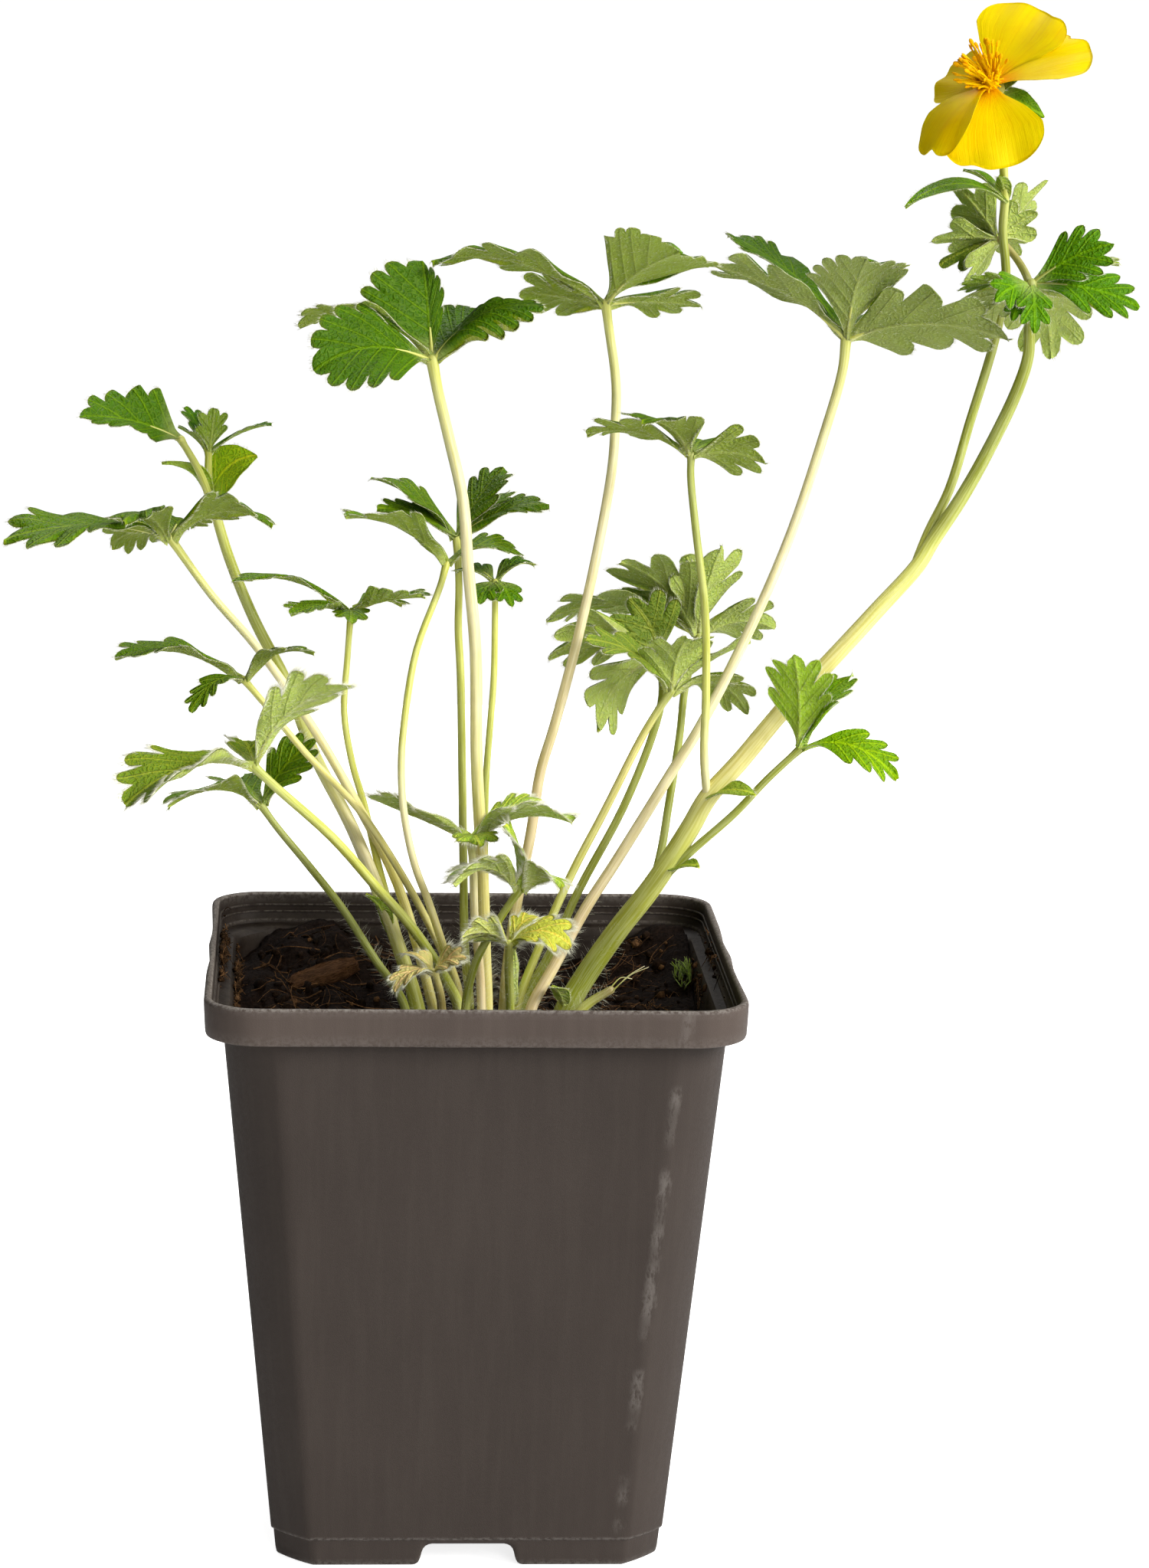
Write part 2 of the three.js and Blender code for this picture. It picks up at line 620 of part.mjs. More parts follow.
// A plain pointed blade: bracts, stipules and sepals.
function bract(foot, spec, upward = UP) {
  const width = spec[1];
  const place = bladeFrame(foot, spec, upward);
  const rows = [[0, 0.4], [0.25, 0.85], [0.5, 1], [0.78, 0.6]].map(([share, half]) => {
    const reach = Math.max(0.7, (half * width) / 2);
    return [place(share, -reach), place(share, 0), place(share, reach)];
  });
  const end = place(1, 0);
  return thicken([...rows, [end, end, end]], BLADE_THICKNESS);
}

// A broad petal with a shallow notch in its end.
function petal(foot, spec, upward) {
  const width = spec[1];
  const place = bladeFrame(foot, spec, upward);
  const shape = [[0, 0.16], [0.3, 0.55], [0.65, 1], [0.88, 0.88], [1, 0.5]];
  const rows = shape.map(([share, half]) => {
    const reach = (half * width) / 2;
    const middle = share === 1 ? 0.95 : share;
    return [
      place(share, -reach),
      place(share, -reach / 2),
      place(middle, 0),
      place(share, reach / 2),
      place(share, reach),
    ];
  });
  return thicken(rows, PETAL_THICKNESS);
}

// Leaflets spreading from the end of a stalk.
function spray(rows, radius, leaflets, extras = []) {
  const crown = point(rows.at(-1));
  const blades = leaflets.map((spec) => {
    const outward = point(spec[0]).normalize().multiplyScalar(0.3);
    return leaflet(crown.clone().add(outward), spec);
  });
  const knot = knob(crown, radius[1] + CROWN_SWELL);
  return fuse([stalk(rows, radius), knot, ...blades, ...extras]);
}

function bracts(list) {
  return list.map(([foot, ...spec]) => bract(point(foot), spec));
}

// A square ring with rounded or cut corners, anticlockwise seen from above. A roundness
// of 1 follows the arc; 0 leaves a straight cut.
function squareRing(half, corner, roundness, z) {
  const ring = [];
  for (let quarter = 0; quarter < 4; quarter += 1) {
    const start = quarter * (Math.PI / 2);
    for (const share of [0, 1 / 3, 2 / 3, 1]) {
      const arc = share * (Math.PI / 2);
      const bent = [Math.cos(arc), Math.sin(arc)];
      const straight = [1 - share, share];
      const [u, v] = [0, 1].map((i) => straight[i] + (bent[i] - straight[i]) * roundness);
      const x = half - corner + corner * u;
      const y = half - corner + corner * v;
      ring.push(new THREE.Vector3(
        x * Math.cos(start) - y * Math.sin(start),
        x * Math.sin(start) + y * Math.cos(start),
        z,
      ));
    }
  }
  return ring;
}

// Half width of the pot's body at a height.
function bodyHalf(z) {
  const top = POT_HEIGHT - RIM_BAND;
  return BASE_HALF + ((BODY_TOP_HALF - BASE_HALF) * z) / top;
}

// A ring on the pot's body, drawn in by an inset. The corners open out upward.
function bodyRing(z, inset = 0) {
  const share = z / POT_HEIGHT;
  return squareRing(bodyHalf(z) - inset, 6 + 3 * share, 0.25 + 0.6 * share, z);
}

function makePot() {
  const bandFoot = POT_HEIGHT - RIM_BAND;
  const outside = loft([
    bodyRing(0, 0.9),
    bodyRing(0.9, 0.4),
    bodyRing(FOOT_STEP, 0.4),
    bodyRing(FOOT_STEP + 0.4, 0),
    bodyRing(bandFoot, 0),
    squareRing(RIM_HALF - 0.8, 9, 1, bandFoot),
    squareRing(RIM_HALF - 0.2, 9, 1, bandFoot + 0.7),
    squareRing(RIM_HALF, 9, 1, POT_HEIGHT - 0.5),
    squareRing(RIM_HALF - 0.4, 8.6, 1, POT_HEIGHT),
  ]);
  const inside = loft([
    bodyRing(FLOOR_TOP, WALL + 0.6),
    bodyRing(FLOOR_TOP + 1, WALL),
    bodyRing(bandFoot - 2.5, WALL),
    squareRing(BODY_TOP_HALF - 0.6, 8.6, 0.9, bandFoot + 0.6),
    squareRing(RIM_HALF - 2, 8, 1, bandFoot + 1.1),
    squareRing(RIM_HALF - 1.7, 8, 1, bandFoot + 4),
    squareRing(RIM_HALF - 1.3, 8, 1, POT_HEIGHT - 0.4),
    squareRing(RIM_HALF - 1.0, 8, 1, POT_HEIGHT + 1),
  ]);
  const hollowFoot = loft([bodyRing(-1, WALL + 0.6), bodyRing(FLOOR_UNDER, WALL + 0.4)]);
  let pot = outside.subtract(inside).subtract(hollowFoot);
  for (let side = 0; side < 4; side += 1) pot = pot.subtract(footNotch(side));
  for (const [x, y] of [[0, 0], [18, 18], [-18, 18], [-18, -18], [18, -18]]) {
    pot = pot.subtract(drain(x, y));
  }
  return pot;
}

// The opening in the middle of one side of the foot, with rounded upper corners.
function footNotch(side) {
  const half = NOTCH_WIDTH / 2;
  const shape = [
    [-half, -1], [half, -1], [half - 0.6, 1.6], [half - 1.6, 3.3], [half - 3, NOTCH_HEIGHT],
    [3 - half, NOTCH_HEIGHT], [1.6 - half, 3.3], [0.6 - half, 1.6],
  ];
  const turn = side * (Math.PI / 2);
  const rings = [-BASE_HALF - 2, -BASE_HALF + 4].map((y) => shape.map(([x, z]) => (
    new THREE.Vector3(x, y, z).applyAxisAngle(UP, turn)
  )));
  return loft(rings);
}

function drain(x, y) {
  const ring = (z) => Array.from({ length: 10 }, (unused, i) => {
    const angle = (i / 10) * 2 * Math.PI;
    return new THREE.Vector3(
      x + DRAIN_RADIUS * Math.cos(angle),
      y + DRAIN_RADIUS * Math.sin(angle),
      z,
    );
  });
  return loft([ring(FLOOR_UNDER - 1), ring(FLOOR_TOP + 1)]);
}

// Height of the soil's surface: heaped up at the back left and back right.
function soilHeight(x, y) {
  const heap = (cx, cy, rise, spread) => (
    rise * Math.exp(-((x - cx) ** 2 + (y - cy) ** 2) / (spread * spread))
  );
  const crumbs = 0.5 * Math.sin(x * 0.55 + y * 0.2) + 0.45 * Math.cos(y * 0.6 - x * 0.25);
  const left = heap(-25, 38, 9, 17) + heap(-37, 8, 4.5, 17);
  const right = heap(39, 38, 10, 15) + heap(34, 2, 3, 14);
  return SOIL_LEVEL + left + right + crumbs;
}

function makeSoil(stems) {
  const cells = 11;
  const span = 2 * BODY_TOP_HALF + 6;
  const at = (i) => -span / 2 + (span * i) / cells;
  const top = [];
  const bottom = [];
  for (let j = 0; j <= cells; j += 1) {
    for (let i = 0; i <= cells; i += 1) {
      top.push(new THREE.Vector3(at(i), at(j), soilHeight(at(i), at(j))));
      bottom.push(new THREE.Vector3(at(i), at(j), 1));
    }
  }
  const index = (i, j) => j * (cells + 1) + i;
  const corners = [];
  for (let i = 0; i < cells; i += 1) corners.push(index(i, 0));
  for (let j = 0; j < cells; j += 1) corners.push(index(cells, j));
  for (let i = cells; i > 0; i -= 1) corners.push(index(i, cells));
  for (let j = cells; j > 0; j -= 1) corners.push(index(0, j));
  const count = top.length;
  const triangles = [];
  for (let j = 0; j < cells; j += 1) {
    for (let i = 0; i < cells; i += 1) {
      const [a, b, c, d] = [index(i, j), index(i + 1, j), index(i + 1, j + 1), index(i, j + 1)];
      triangles.push([a, b, c], [a, c, d]);
      triangles.push([a + count, c + count, b + count], [a + count, d + count, c + count]);
    }
  }
  corners.forEach((a, i) => {
    const b = corners[(i + 1) % corners.length];
    triangles.push([a, a + count, b + count], [a, b + count, b]);
  });
  const relief = solidFrom([...top, ...bottom], triangles);
  const gap = WALL + SOIL_GAP;
  const body = loft([
    bodyRing(FLOOR_TOP + SOIL_GAP, gap + 0.7),
    bodyRing(FLOOR_TOP + 1.2, gap),
    bodyRing(POT_HEIGHT - RIM_BAND - 2.5, gap),
    bodyRing(POT_HEIGHT - RIM_BAND + 4, gap),
  ]);
  let soil = body.intersect(relief);
  for (const stem of stems) soil = soil.subtract(stem);
  return soil;
}

// A stem's foot, a little thicker than the stem, used to clear its hole in the soil.
function holeFor(rows, [footRadius]) {
  const [foot, surface, above] = rows.map(point);
  const below = foot.clone().setZ(foot.z - STEM_CLEARANCE - footRadius * 0.35);
  const clear = above.clone().lerp(surface, above.z > 99 ? 0.5 : 0);
  const radius = footRadius + STEM_CLEARANCE + 0.15;
  return loft([below, surface, clear].map((middle) => (
    Array.from({ length: 6 }, (unused, i) => {
      const angle = (i / 6) * 2 * Math.PI;
      const reach = new THREE.Vector3(Math.cos(angle), Math.sin(angle), 0);
      return middle.clone().addScaledVector(reach, radius * 1.12);
    })
  )));
}

function makeChip(extra = 0) {
  const [x, y, z] = BARK_CHIP.size.map((size) => size / 2 + extra);
  const rotation = new THREE.Euler(...BARK_CHIP.turn.map((angle) => angle * degrees));
  const outline = [
    [-x, -y * 0.6], [-x * 0.5, -y], [x * 0.7, -y * 0.8], [x, -y * 0.1], [x * 0.6, y * 0.9],
    [-x * 0.4, y], [-x * 0.9, y * 0.5],
  ];
  const rings = [-z, z].map((height) => outline.map(([u, v]) => (
    new THREE.Vector3(u, v, height).applyEuler(rotation).add(point(BARK_CHIP.at))
  )));
  return loft(rings);
}

function makeShoot() {
  return fuse([
    stalk(SHOOT_STEM, SHOOT_RADIUS),
    knob(point(SHOOT_STEM.at(-1)), 1.7),
    spray(SHOOT_LEAF_STALK, THIN_STALK_RADIUS, SHOOT_LEAF),
    spray(SHOOT_TUFT_STALK, THIN_STALK_RADIUS, SHOOT_TUFT),
    ...bracts(SHOOT_BRACTS),
  ]);
}

function makeFlowerStem() {
  const facing = point(FLOWER_FACES).normalize();
  const behind = point(FLOWER_CENTRE).addScaledVector(facing, -1.9);
  const sepals = SEPALS.map((spec) => bract(behind, spec, facing));
  return fuse([
    stalk(FLOWER_STEM, FLOWER_STEM_RADIUS, 0, 8),
    stalk([...FLOWER_STALK, behind.toArray()], FLOWER_STALK_RADIUS),
    disc(behind, facing, 1.9, 1.3),
    spray(LEAFY_BRANCH, LEAFY_BRANCH_RADIUS, BRANCH_LEAVES),
    spray(CLUSTER_STALK, THIN_STALK_RADIUS, CLUSTER_LEAVES),
    spray(MID_LEAF_STALK, THIN_STALK_RADIUS, MID_LEAF),
    spray(UPPER_LEAF_STALK, THIN_STALK_RADIUS, UPPER_LEAF),
    spray(LOW_LEAF_STALK, THIN_STALK_RADIUS, LOW_LEAF),
    ...bracts(STEM_BRACTS),
    ...sepals,
  ]);
}

// A short round plate square to a direction.
function disc(centre, direction, radius, height) {
  const across = new THREE.Vector3().crossVectors(direction, UP).normalize();
  const other = new THREE.Vector3().crossVectors(direction, across);
  const rings = [-height / 2, height / 2].map((offset) => (
    Array.from({ length: 8 }, (unused, i) => {
      const angle = (i / 8) * 2 * Math.PI;
      return centre.clone()
        .addScaledVector(direction, offset)
        .addScaledVector(across, radius * Math.cos(angle))
        .addScaledVector(other, radius * Math.sin(angle));
    })
  ));
  return loft(rings);
}

function makeCorolla() {
  const facing = point(FLOWER_FACES).normalize();
  const centre = point(FLOWER_CENTRE);
  const petals = PETALS.map((spec) => petal(centre.clone(), spec, facing));
  const eye = centre.clone().addScaledVector(facing, (EYE_TOP + EYE_FOOT) / 2);
  return fuse([disc(eye, facing, 2, EYE_TOP - EYE_FOOT), ...petals]);
}

function makeStamens() {
  const facing = point(FLOWER_FACES).normalize();
  const across = new THREE.Vector3().crossVectors(facing, UP).normalize();
  const other = new THREE.Vector3().crossVectors(facing, across);
  const seat = point(FLOWER_CENTRE).addScaledVector(facing, DISC_RISE);
  const parts = [disc(seat, facing, DISC_RADIUS, 1)];
  for (let i = 0; i < STAMEN_COUNT; i += 1) {
    const inner = i % 2 === 0;
    const angle = i * 2.4;
    const lean = inner ? 0.35 : 0.75;
    const reach = STAMEN_LENGTH * (inner ? 0.85 : 1);
    const outward = across.clone().multiplyScalar(Math.cos(angle))
      .addScaledVector(other, Math.sin(angle));
    const foot = seat.clone().addScaledVector(outward, inner ? 0.8 : 1.5);
    const tip = foot.clone()
      .addScaledVector(facing, reach * Math.cos(lean))
      .addScaledVector(outward, reach * Math.sin(lean));
    parts.push(stalk([foot.toArray(), tip.toArray()], [STAMEN_RADIUS, ANTHER_RADIUS], 0, 4));
  }
  return fuse(parts);
}

// Turns a solid into a mesh with its own material.
function meshOf(name, solid, slot) {
  const { vertProperties, triVerts, numProp } = solid.getMesh();
  const geometry = new THREE.BufferGeometry();
  const positions = new Float32Array((vertProperties.length / numProp) * 3);
  for (let i = 0; i < vertProperties.length / numProp; i += 1) {
    for (let k = 0; k < 3; k += 1) positions[i * 3 + k] = vertProperties[i * numProp + k];
  }
  geometry.setAttribute('position', new THREE.BufferAttribute(positions, 3));
  geometry.setIndex(new THREE.BufferAttribute(new Uint32Array(triVerts), 1));
  geometry.computeVertexNormals();
  const material = new THREE.MeshStandardMaterial({ ...SLOTS[slot], metalness: 0 });
  material.name = slot;
  material.flatShading = true;
  const mesh = new THREE.Mesh(geometry, material);
  mesh.name = name;
  return mesh;
}

function slotOf(name) {
  if (name === 'leaf_yellow' || name === 'leaf_dry') return name;
  return 'leaf';
}

const holes = [
  ...Object.values(LEAVES).map(({ stalk: rows, radius }) => holeFor(rows, radius)),
  holeFor(SHOOT_STEM, SHOOT_RADIUS),
  holeFor(FLOWER_STEM, FLOWER_STEM_RADIUS),
  holeFor(STUB, STUB_RADIUS),
  makeChip(STEM_CLEARANCE),
];

const root = new THREE.Group();
root.name = 'root';
root.add(meshOf('pot', makePot(), 'pot'));
root.add(meshOf('soil', makeSoil(holes), 'soil'));
root.add(meshOf('bark_chip', makeChip(), 'bark'));
for (const [name, { stalk: rows, radius, leaflets, sheath }] of Object.entries(LEAVES)) {
  const extras = sheath ? bracts([sheath]) : [];
  root.add(meshOf(name, spray(rows, radius, leaflets, extras), slotOf(name)));
}
root.add(meshOf('left_shoot', makeShoot(), 'leaf'));
root.add(meshOf('flowering_stem', makeFlowerStem(), 'leaf'));
root.add(meshOf('stem_stub', stalk(STUB, STUB_RADIUS), 'stem'));
root.add(meshOf('petals', makeCorolla(), 'petal'));
root.add(meshOf('stamens', makeStamens(), 'stamen'));

// Put the middle of the whole part's underside at the origin.
const box = new THREE.Box3().setFromObject(root);
const centre = box.getCenter(new THREE.Vector3());
root.position.set(-centre.x, -centre.y, -box.min.z);
root.updateMatrixWorld(true);

export default root;
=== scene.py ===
"""The looks of a flowering cinquefoil in a square nursery pot.

Sizes are in millimetres in the pot's own frame: the origin is the middle of the pot's
underside, X runs right, Y away from the viewer and Z up. They become metres, moved to
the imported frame, only where a mesh is made.
"""
import math
from collections import namedtuple

import bmesh
import bpy
import numpy as np
from mathutils import Matrix, Vector, noise


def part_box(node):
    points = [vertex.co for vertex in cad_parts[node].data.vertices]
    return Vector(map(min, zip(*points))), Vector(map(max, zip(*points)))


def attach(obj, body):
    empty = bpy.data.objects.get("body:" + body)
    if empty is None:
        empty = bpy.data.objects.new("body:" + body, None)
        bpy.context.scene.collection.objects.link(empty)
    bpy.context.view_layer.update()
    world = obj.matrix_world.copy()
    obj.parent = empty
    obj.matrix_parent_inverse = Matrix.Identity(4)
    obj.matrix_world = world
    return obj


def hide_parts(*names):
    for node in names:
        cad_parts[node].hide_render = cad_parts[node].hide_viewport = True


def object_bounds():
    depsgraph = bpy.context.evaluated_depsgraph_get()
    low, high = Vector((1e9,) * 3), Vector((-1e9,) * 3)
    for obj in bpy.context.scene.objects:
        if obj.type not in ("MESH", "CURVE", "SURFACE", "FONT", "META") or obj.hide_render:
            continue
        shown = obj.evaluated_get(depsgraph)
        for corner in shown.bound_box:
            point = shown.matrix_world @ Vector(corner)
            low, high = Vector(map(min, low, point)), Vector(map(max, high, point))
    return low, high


MM = 0.001
UP = np.array([0.0, 0.0, 1.0])

# The camera, as fitted to the pot's rim and foot.
VIEW_TURN = -3.462
VIEW_RISE = 11.074
VIEW_ROLL = 1.117
VIEW_DISTANCE = 794.9
VIEW_TARGET = (17.55, 0.0, 129.0)
LENS = 106.4

# The pot.
POT_HEIGHT = 100
RIM_HALF = 45
RIM_BAND = 6.5
BAND_UNDER = POT_HEIGHT - RIM_BAND
BODY_TOP_HALF = 41.8
BASE_HALF = 32.9
WALL = 1.3
FOOT_STEP = 4.8
FLOOR_UNDER = 4
FLOOR_TOP = 5.3
DRAIN_RADIUS = 3.2
DRAIN_SPREAD = 18
SOIL_GAP = 0.15
SOIL_LEVEL = 86
SOIL_FLOOR = FLOOR_TOP + SOIL_GAP

# Points along each side of the pot, close together where the foot's openings end. Those
# beyond the middle part spread out as far as the corner.
CORNER_STEPS = 12
SIDE_MIDDLE = 12
SIDE_END = 30
SIDE_POINTS = np.array([
    -28.5, -27, -25, -23, -21, -19, -17, -15, -13.5, -12, -10.5, -9.4, -8.9, -8.5, -8.2,
    -8, -7.85, -7.6, -7.2, -6.7, -6.1, -5, -3.5, -1.8, 0, 1.8, 3.5, 5, 6.1, 6.7, 7.2, 7.6,
    7.85, 8, 8.2, 8.5, 8.9, 9.4, 10.5, 12, 13.5, 15, 17, 19, 21, 23, 25, 27, 28.5,
])
# The openings in the foot: how high they are at distances from the middle of a side.
NOTCH_REACH = [0, 6.1, 6.7, 7.2, 7.6, 7.85, 8, 8.2, 8.5, 8.9, 9.4]
NOTCH_RISE = [3.8, 3.8, 3.66, 3.38, 2.9, 2.2, 1.5, 0.85, 0.35, 0.1, 0]
# How far the rim's sides are pressed in at places along them.
RIM_FACETS = [-28, -16, -13, -4, 5.5, 8, 16, 28]
RIM_OFFSETS = [0, -0.4, -0.4, -0.02, -0.4, -0.36, -0.02, 0]

# The pot's wall in rows, from under the floor down to the foot and up the outside:
# height, inset, how far the foot's openings lift the row, pale wear (partly a painted
# highlight) and how far inside it is, for painted shade and soil dirt.
FOOT_ROWS = (
    (FLOOR_UNDER, WALL + 0.5, 0, 0, 1),
    (2.2, WALL + 0.5, 0.45, 0, 1),
    (0.15, WALL + 0.5, 0.96, 0, 0.6),
    (0, WALL + 0.35, 1, 0.2, 0.3),
    (0, 1.0, 1, 0.3, 0.2),
    (0.12, 0.7, 0.98, 0.5, 0),
    (0.5, 0.52, 0.9, 0.2, 0),
    (1.4, 0.42, 0.7, 0, 0),
    (3, 0.4, 0.32, 0, 0),
    (FOOT_STEP - 0.35, 0.4, 0, 0, 0),
    (FOOT_STEP - 0.12, 0.38, 0, 0.1, 0),
    (FOOT_STEP + 0.05, 0.28, 0, 0.4, 0),
    (FOOT_STEP + 0.16, 0.1, 0, 0.6, 0),
    (FOOT_STEP + 0.34, 0.02, 0, 0.3, 0),
    (FOOT_STEP + 0.7, 0, 0, 0, 0),
)
BODY_HEIGHTS = (12, 22, 32, 42, 52, 62, 72, 80, 86, 90, 92.4)
# The flare under the rim: height and inset.
UNDER_BAND_ROWS = ((BAND_UNDER - 0.25, -0.06), (BAND_UNDER - 0.02, -0.35))
# The rim, from its lower edge over the top to the ribs and the ledge inside: inset from
# its half width, corner radius, distance below the top, unevenness, pale wear (partly a
# painted highlight on its edges and ribs) and how far inside it is, for painted shade
# and soil dirt.
RIM_ROWS = (
    (1.5, 9, 6.48, 0, 0, 0),
    (0.75, 9, 6.4, 0.5, 0.1, 0),
    (0.4, 9, 6.2, 1, 0.25, 0),
    (0.25, 9, 5.75, 1, 0.15, 0),
    (0.15, 9, 4, 1, 0, 0),
    (0.05, 9, 1.7, 1, 0, 0),
    (0.02, 9, 0.6, 1, 0.1, 0),
    (0.1, 8.9, 0.3, 1, 0.5, 0),
    (0.3, 8.7, 0.08, 0.7, 1, 0),
    (0.6, 8.6, 0, 0.5, 0.8, 0),
    (0.95, 8.4, 0.03, 0, 0.7, 0),
    (1.2, 8.2, 0.18, 0, 0.9, 0),
    (1.33, 8.1, 0.5, 0, 0.3, 0.3),
    (1.45, 8, 2, 0, 0, 0.6),
    (1.64, 8, 2.1, 0, 0.7, 0.6),
    (1.66, 8, 2.3, 0, 0.3, 0.7),
    (1.5, 8, 2.4, 0, 0, 0.7),
    (1.55, 8, 3.2, 0, 0, 0.7),
    (1.74, 8, 3.3, 0, 0.7, 0.7),
    (1.76, 8, 3.5, 0, 0.3, 0.7),
    (1.62, 8, 3.6, 0, 0, 0.7),
    (1.85, 8, 4.6, 0, 0, 0.7),
    (2.05, 8, 4.8, 0, 0.6, 0.7),
    (2.2, 8, 5.35, 0, 0, 0.9),
    (3.1, 8.3, 5.48, 0, 0, 1),
    (RIM_HALF - BODY_TOP_HALF + 0.75, 8.6, 5.65, 0, 0.4, 1),
)
# The inside of the wall, from the ledge down to the floor: height, inset and pale wear,
# partly a painted highlight. These rows take the inside's painted shade and soil dirt.
INNER_ROWS = (
    (BAND_UNDER + 0.3, WALL - 0.2, 0.2), (BAND_UNDER - 0.6, WALL - 0.05, 0),
    (BAND_UNDER - 2.5, WALL, 0), (82, WALL, 0), (70, WALL, 0), (50, WALL, 0), (30, WALL, 0),
    (12, WALL, 0), (6.6, WALL, 0), (5.7, WALL + 0.2, 0), (FLOOR_TOP, WALL + 0.7, 0),
)

# Leaf blades. NO_VEIN stands as the distance to a vein where none is near.
BLADE_THICKNESS = 0.34
FOOT_REACH = 0.4
EDGE_REACH = 0.12
VEIN_SWELL = 0.28
NO_VEIN = 9.0

# How a leaflet's margin is cut: the most lobes on a side, how deep the notches go toward
# the midrib, the share of the length where it is broadest, where on the outline the
# first lobe ends, how much of its room a lobe fills and how pointed it is.
Cut = namedtuple("Cut", "lobes depth broadest first width point")
CRENATE = Cut(4, 0.25, 0.6, 0.42, 0.95, 0.9)
LOBED = Cut(3, 0.38, 0.68, 0.42, 0.9, 1.0)
FINGERED = Cut(2, 0.52, 0.7, 0.46, 0.88, 1.05)
TOOTHED = Cut(4, 0.25, 0.76, 0.44, 0.95, 1.15)
TREFOIL = Cut(1, 0.6, 0.7, 0.5, 0.9, 1.0)
POINTED = Cut(3, 0.42, 0.68, 0.42, 0.88, 1.35)
VEIN_SLOPE = 1.2
WEDGE_BEND = 1.5
LOBE_TURNS = (-90, -60, -30, 0, 30, 60, 90)

# Columns of points across a leaflet's half and across a bract, as shares of half the width.
BLADE_COLUMNS = (0, 0.05, 0.15, 0.3, 0.48, 0.66, 0.84, 0.95, 1)
BRACT_COLUMNS = (-1, -0.8, -0.5, -0.2, -0.06, 0, 0.06, 0.2, 0.5, 0.8, 1)

# The rounded end of a stalk: turns of its rings, in radians.
STALK_END_TURNS = (0.45, 0.9, 1.3)

# The slots of a plant piece's materials.
LEAF_PAINT, STALK_PAINT, HAIR_PAINT = 0, 1, 2

# Hairs: how many and how thick they are along a blade's margins, on its underside and on
# a stalk, below which height a stalk's are long, how deep they stand in the skin, and
# how much longer and closer they are on silky leaves.
FRINGE_PER_MM = 8
FRINGE_RADIUS = 0.028
UNDERSIDE_PER_MM2 = 0.6
UNDERSIDE_RADIUS = 0.02
STALK_HAIRS_PER_MM = 14
STALK_HAIR_RADIUS = 0.015
LONG_HAIRS_TO = 118
HAIR_ROOT = 0.12
SILKY = {
    "leaf_yellow": 2.6, "leaf_dry": 2.4, "leaf_front_left": 2.4, "leaf_dark": 1.2,
    "leaf_low_left": 1.6, "leaf_low_centre": 2.2, "leaf_small_centre": 2.6,
}


def srgb(red, green, blue):
    """A display colour from 0 to 255 as the linear colour that shaders use."""
    shares = [value / 255 for value in (red, green, blue)]
    return tuple(s / 12.92 if s <= 0.04045 else ((s + 0.055) / 1.055) ** 2.4 for s in shares)


# Colours of leaves, each for the upper face and the underside.
FRESH = (srgb(90, 134, 0), srgb(148, 172, 46))
DARK = (srgb(70, 110, 0), srgb(146, 162, 62))
DARK_GREYED = (DARK[0], srgb(138, 152, 72))
GREYED = (srgb(84, 118, 6), srgb(142, 160, 56))
OLIVE = (srgb(92, 128, 6), srgb(148, 168, 58))
# PALE is a pale green lifted further, and BUD and SPRING are lifted too, as painted light for
# leaves that lie in shade but glow with light shining through them.
PALE = (srgb(150, 180, 56), srgb(178, 192, 100))
BUD = (srgb(176, 210, 36), srgb(176, 204, 62))
HOARY = (srgb(124, 152, 36), srgb(168, 184, 88))
SILVERY = (srgb(116, 140, 46), srgb(162, 178, 84))
YOUNG = (srgb(80, 132, 0), srgb(146, 172, 50))
# Lifted as painted light, like PALE and BUD.
SPRING = (srgb(118, 164, 4), srgb(166, 200, 44))
LEMON = (srgb(206, 210, 76), srgb(210, 216, 116))
STRAW = (srgb(226, 212, 136), srgb(214, 200, 142))

# Colours of stalks.
CREAM = srgb(250, 240, 190)
PINKISH = srgb(240, 218, 168)
BUTTER = srgb(236, 226, 136)
LIME = srgb(212, 216, 98)
MOSS_GREEN = srgb(166, 176, 56)
GRASS = srgb(154, 164, 42)
BRONZE = srgb(172, 156, 88)

# Colours that the skins lay over those.
MARGIN_BROWN = srgb(96, 74, 36)
SILK = srgb(198, 204, 168)
VEIN_PALE = srgb(206, 214, 130)
HAIR_WHITE = srgb(248, 245, 226)

# Colours of the flower.
PETAL_YELLOW = srgb(240, 202, 0)
PETAL_LEMON = srgb(244, 210, 0)
PETAL_GOLD = srgb(226, 170, 0)
PETAL_ORANGE = srgb(218, 132, 0)
FILAMENT = srgb(254, 208, 0)
STYLE = srgb(250, 196, 0)
ANTHER = srgb(244, 180, 0)

# Colours of the pot.
POT_GREY = srgb(61, 54, 50)
POT_PALE = srgb(70, 63, 58)
# The pale of worn edges, which is also laid on as painted highlights along the rim's edges and the
# ribs inside.
POT_WORN_AND_GLINT = srgb(150, 144, 138)

# Colours of the soil and what lies on it.
SOIL_BROWN = srgb(27, 16, 9)
FIBRE_BROWN = srgb(116, 84, 54)
CHIP_BROWN = srgb(98, 68, 44)
CRUMB_BROWN = srgb(38, 25, 15)
MOSS_LIGHT = srgb(176, 214, 56)

# What each part of a colour is multiplied by: on veins; for painted shade in the hollows
# between them and in the furrows of stalks; for painted light on the rim's outside; for
# painted shade inside the pot and in the pores of soil.
VEIN_GAIN = (2.2, 1.7, 1.9)
HOLLOW_SHADE_GAIN = (0.42, 0.56, 0.4)
FURROW_SHADE_GAIN = (0.86, 0.84, 0.72)
RIM_LIGHT_GAIN = (1.75, 1.72, 1.7)
INSIDE_SHADE_GAIN = (0.46, 0.42, 0.38)
PORE_SHADE_GAIN = (0.4, 0.38, 0.36)

# The kinds of sockets of a shared effect.
FLOAT, COLOUR, VECTOR = "NodeSocketFloat", "NodeSocketColor", "NodeSocketVector"

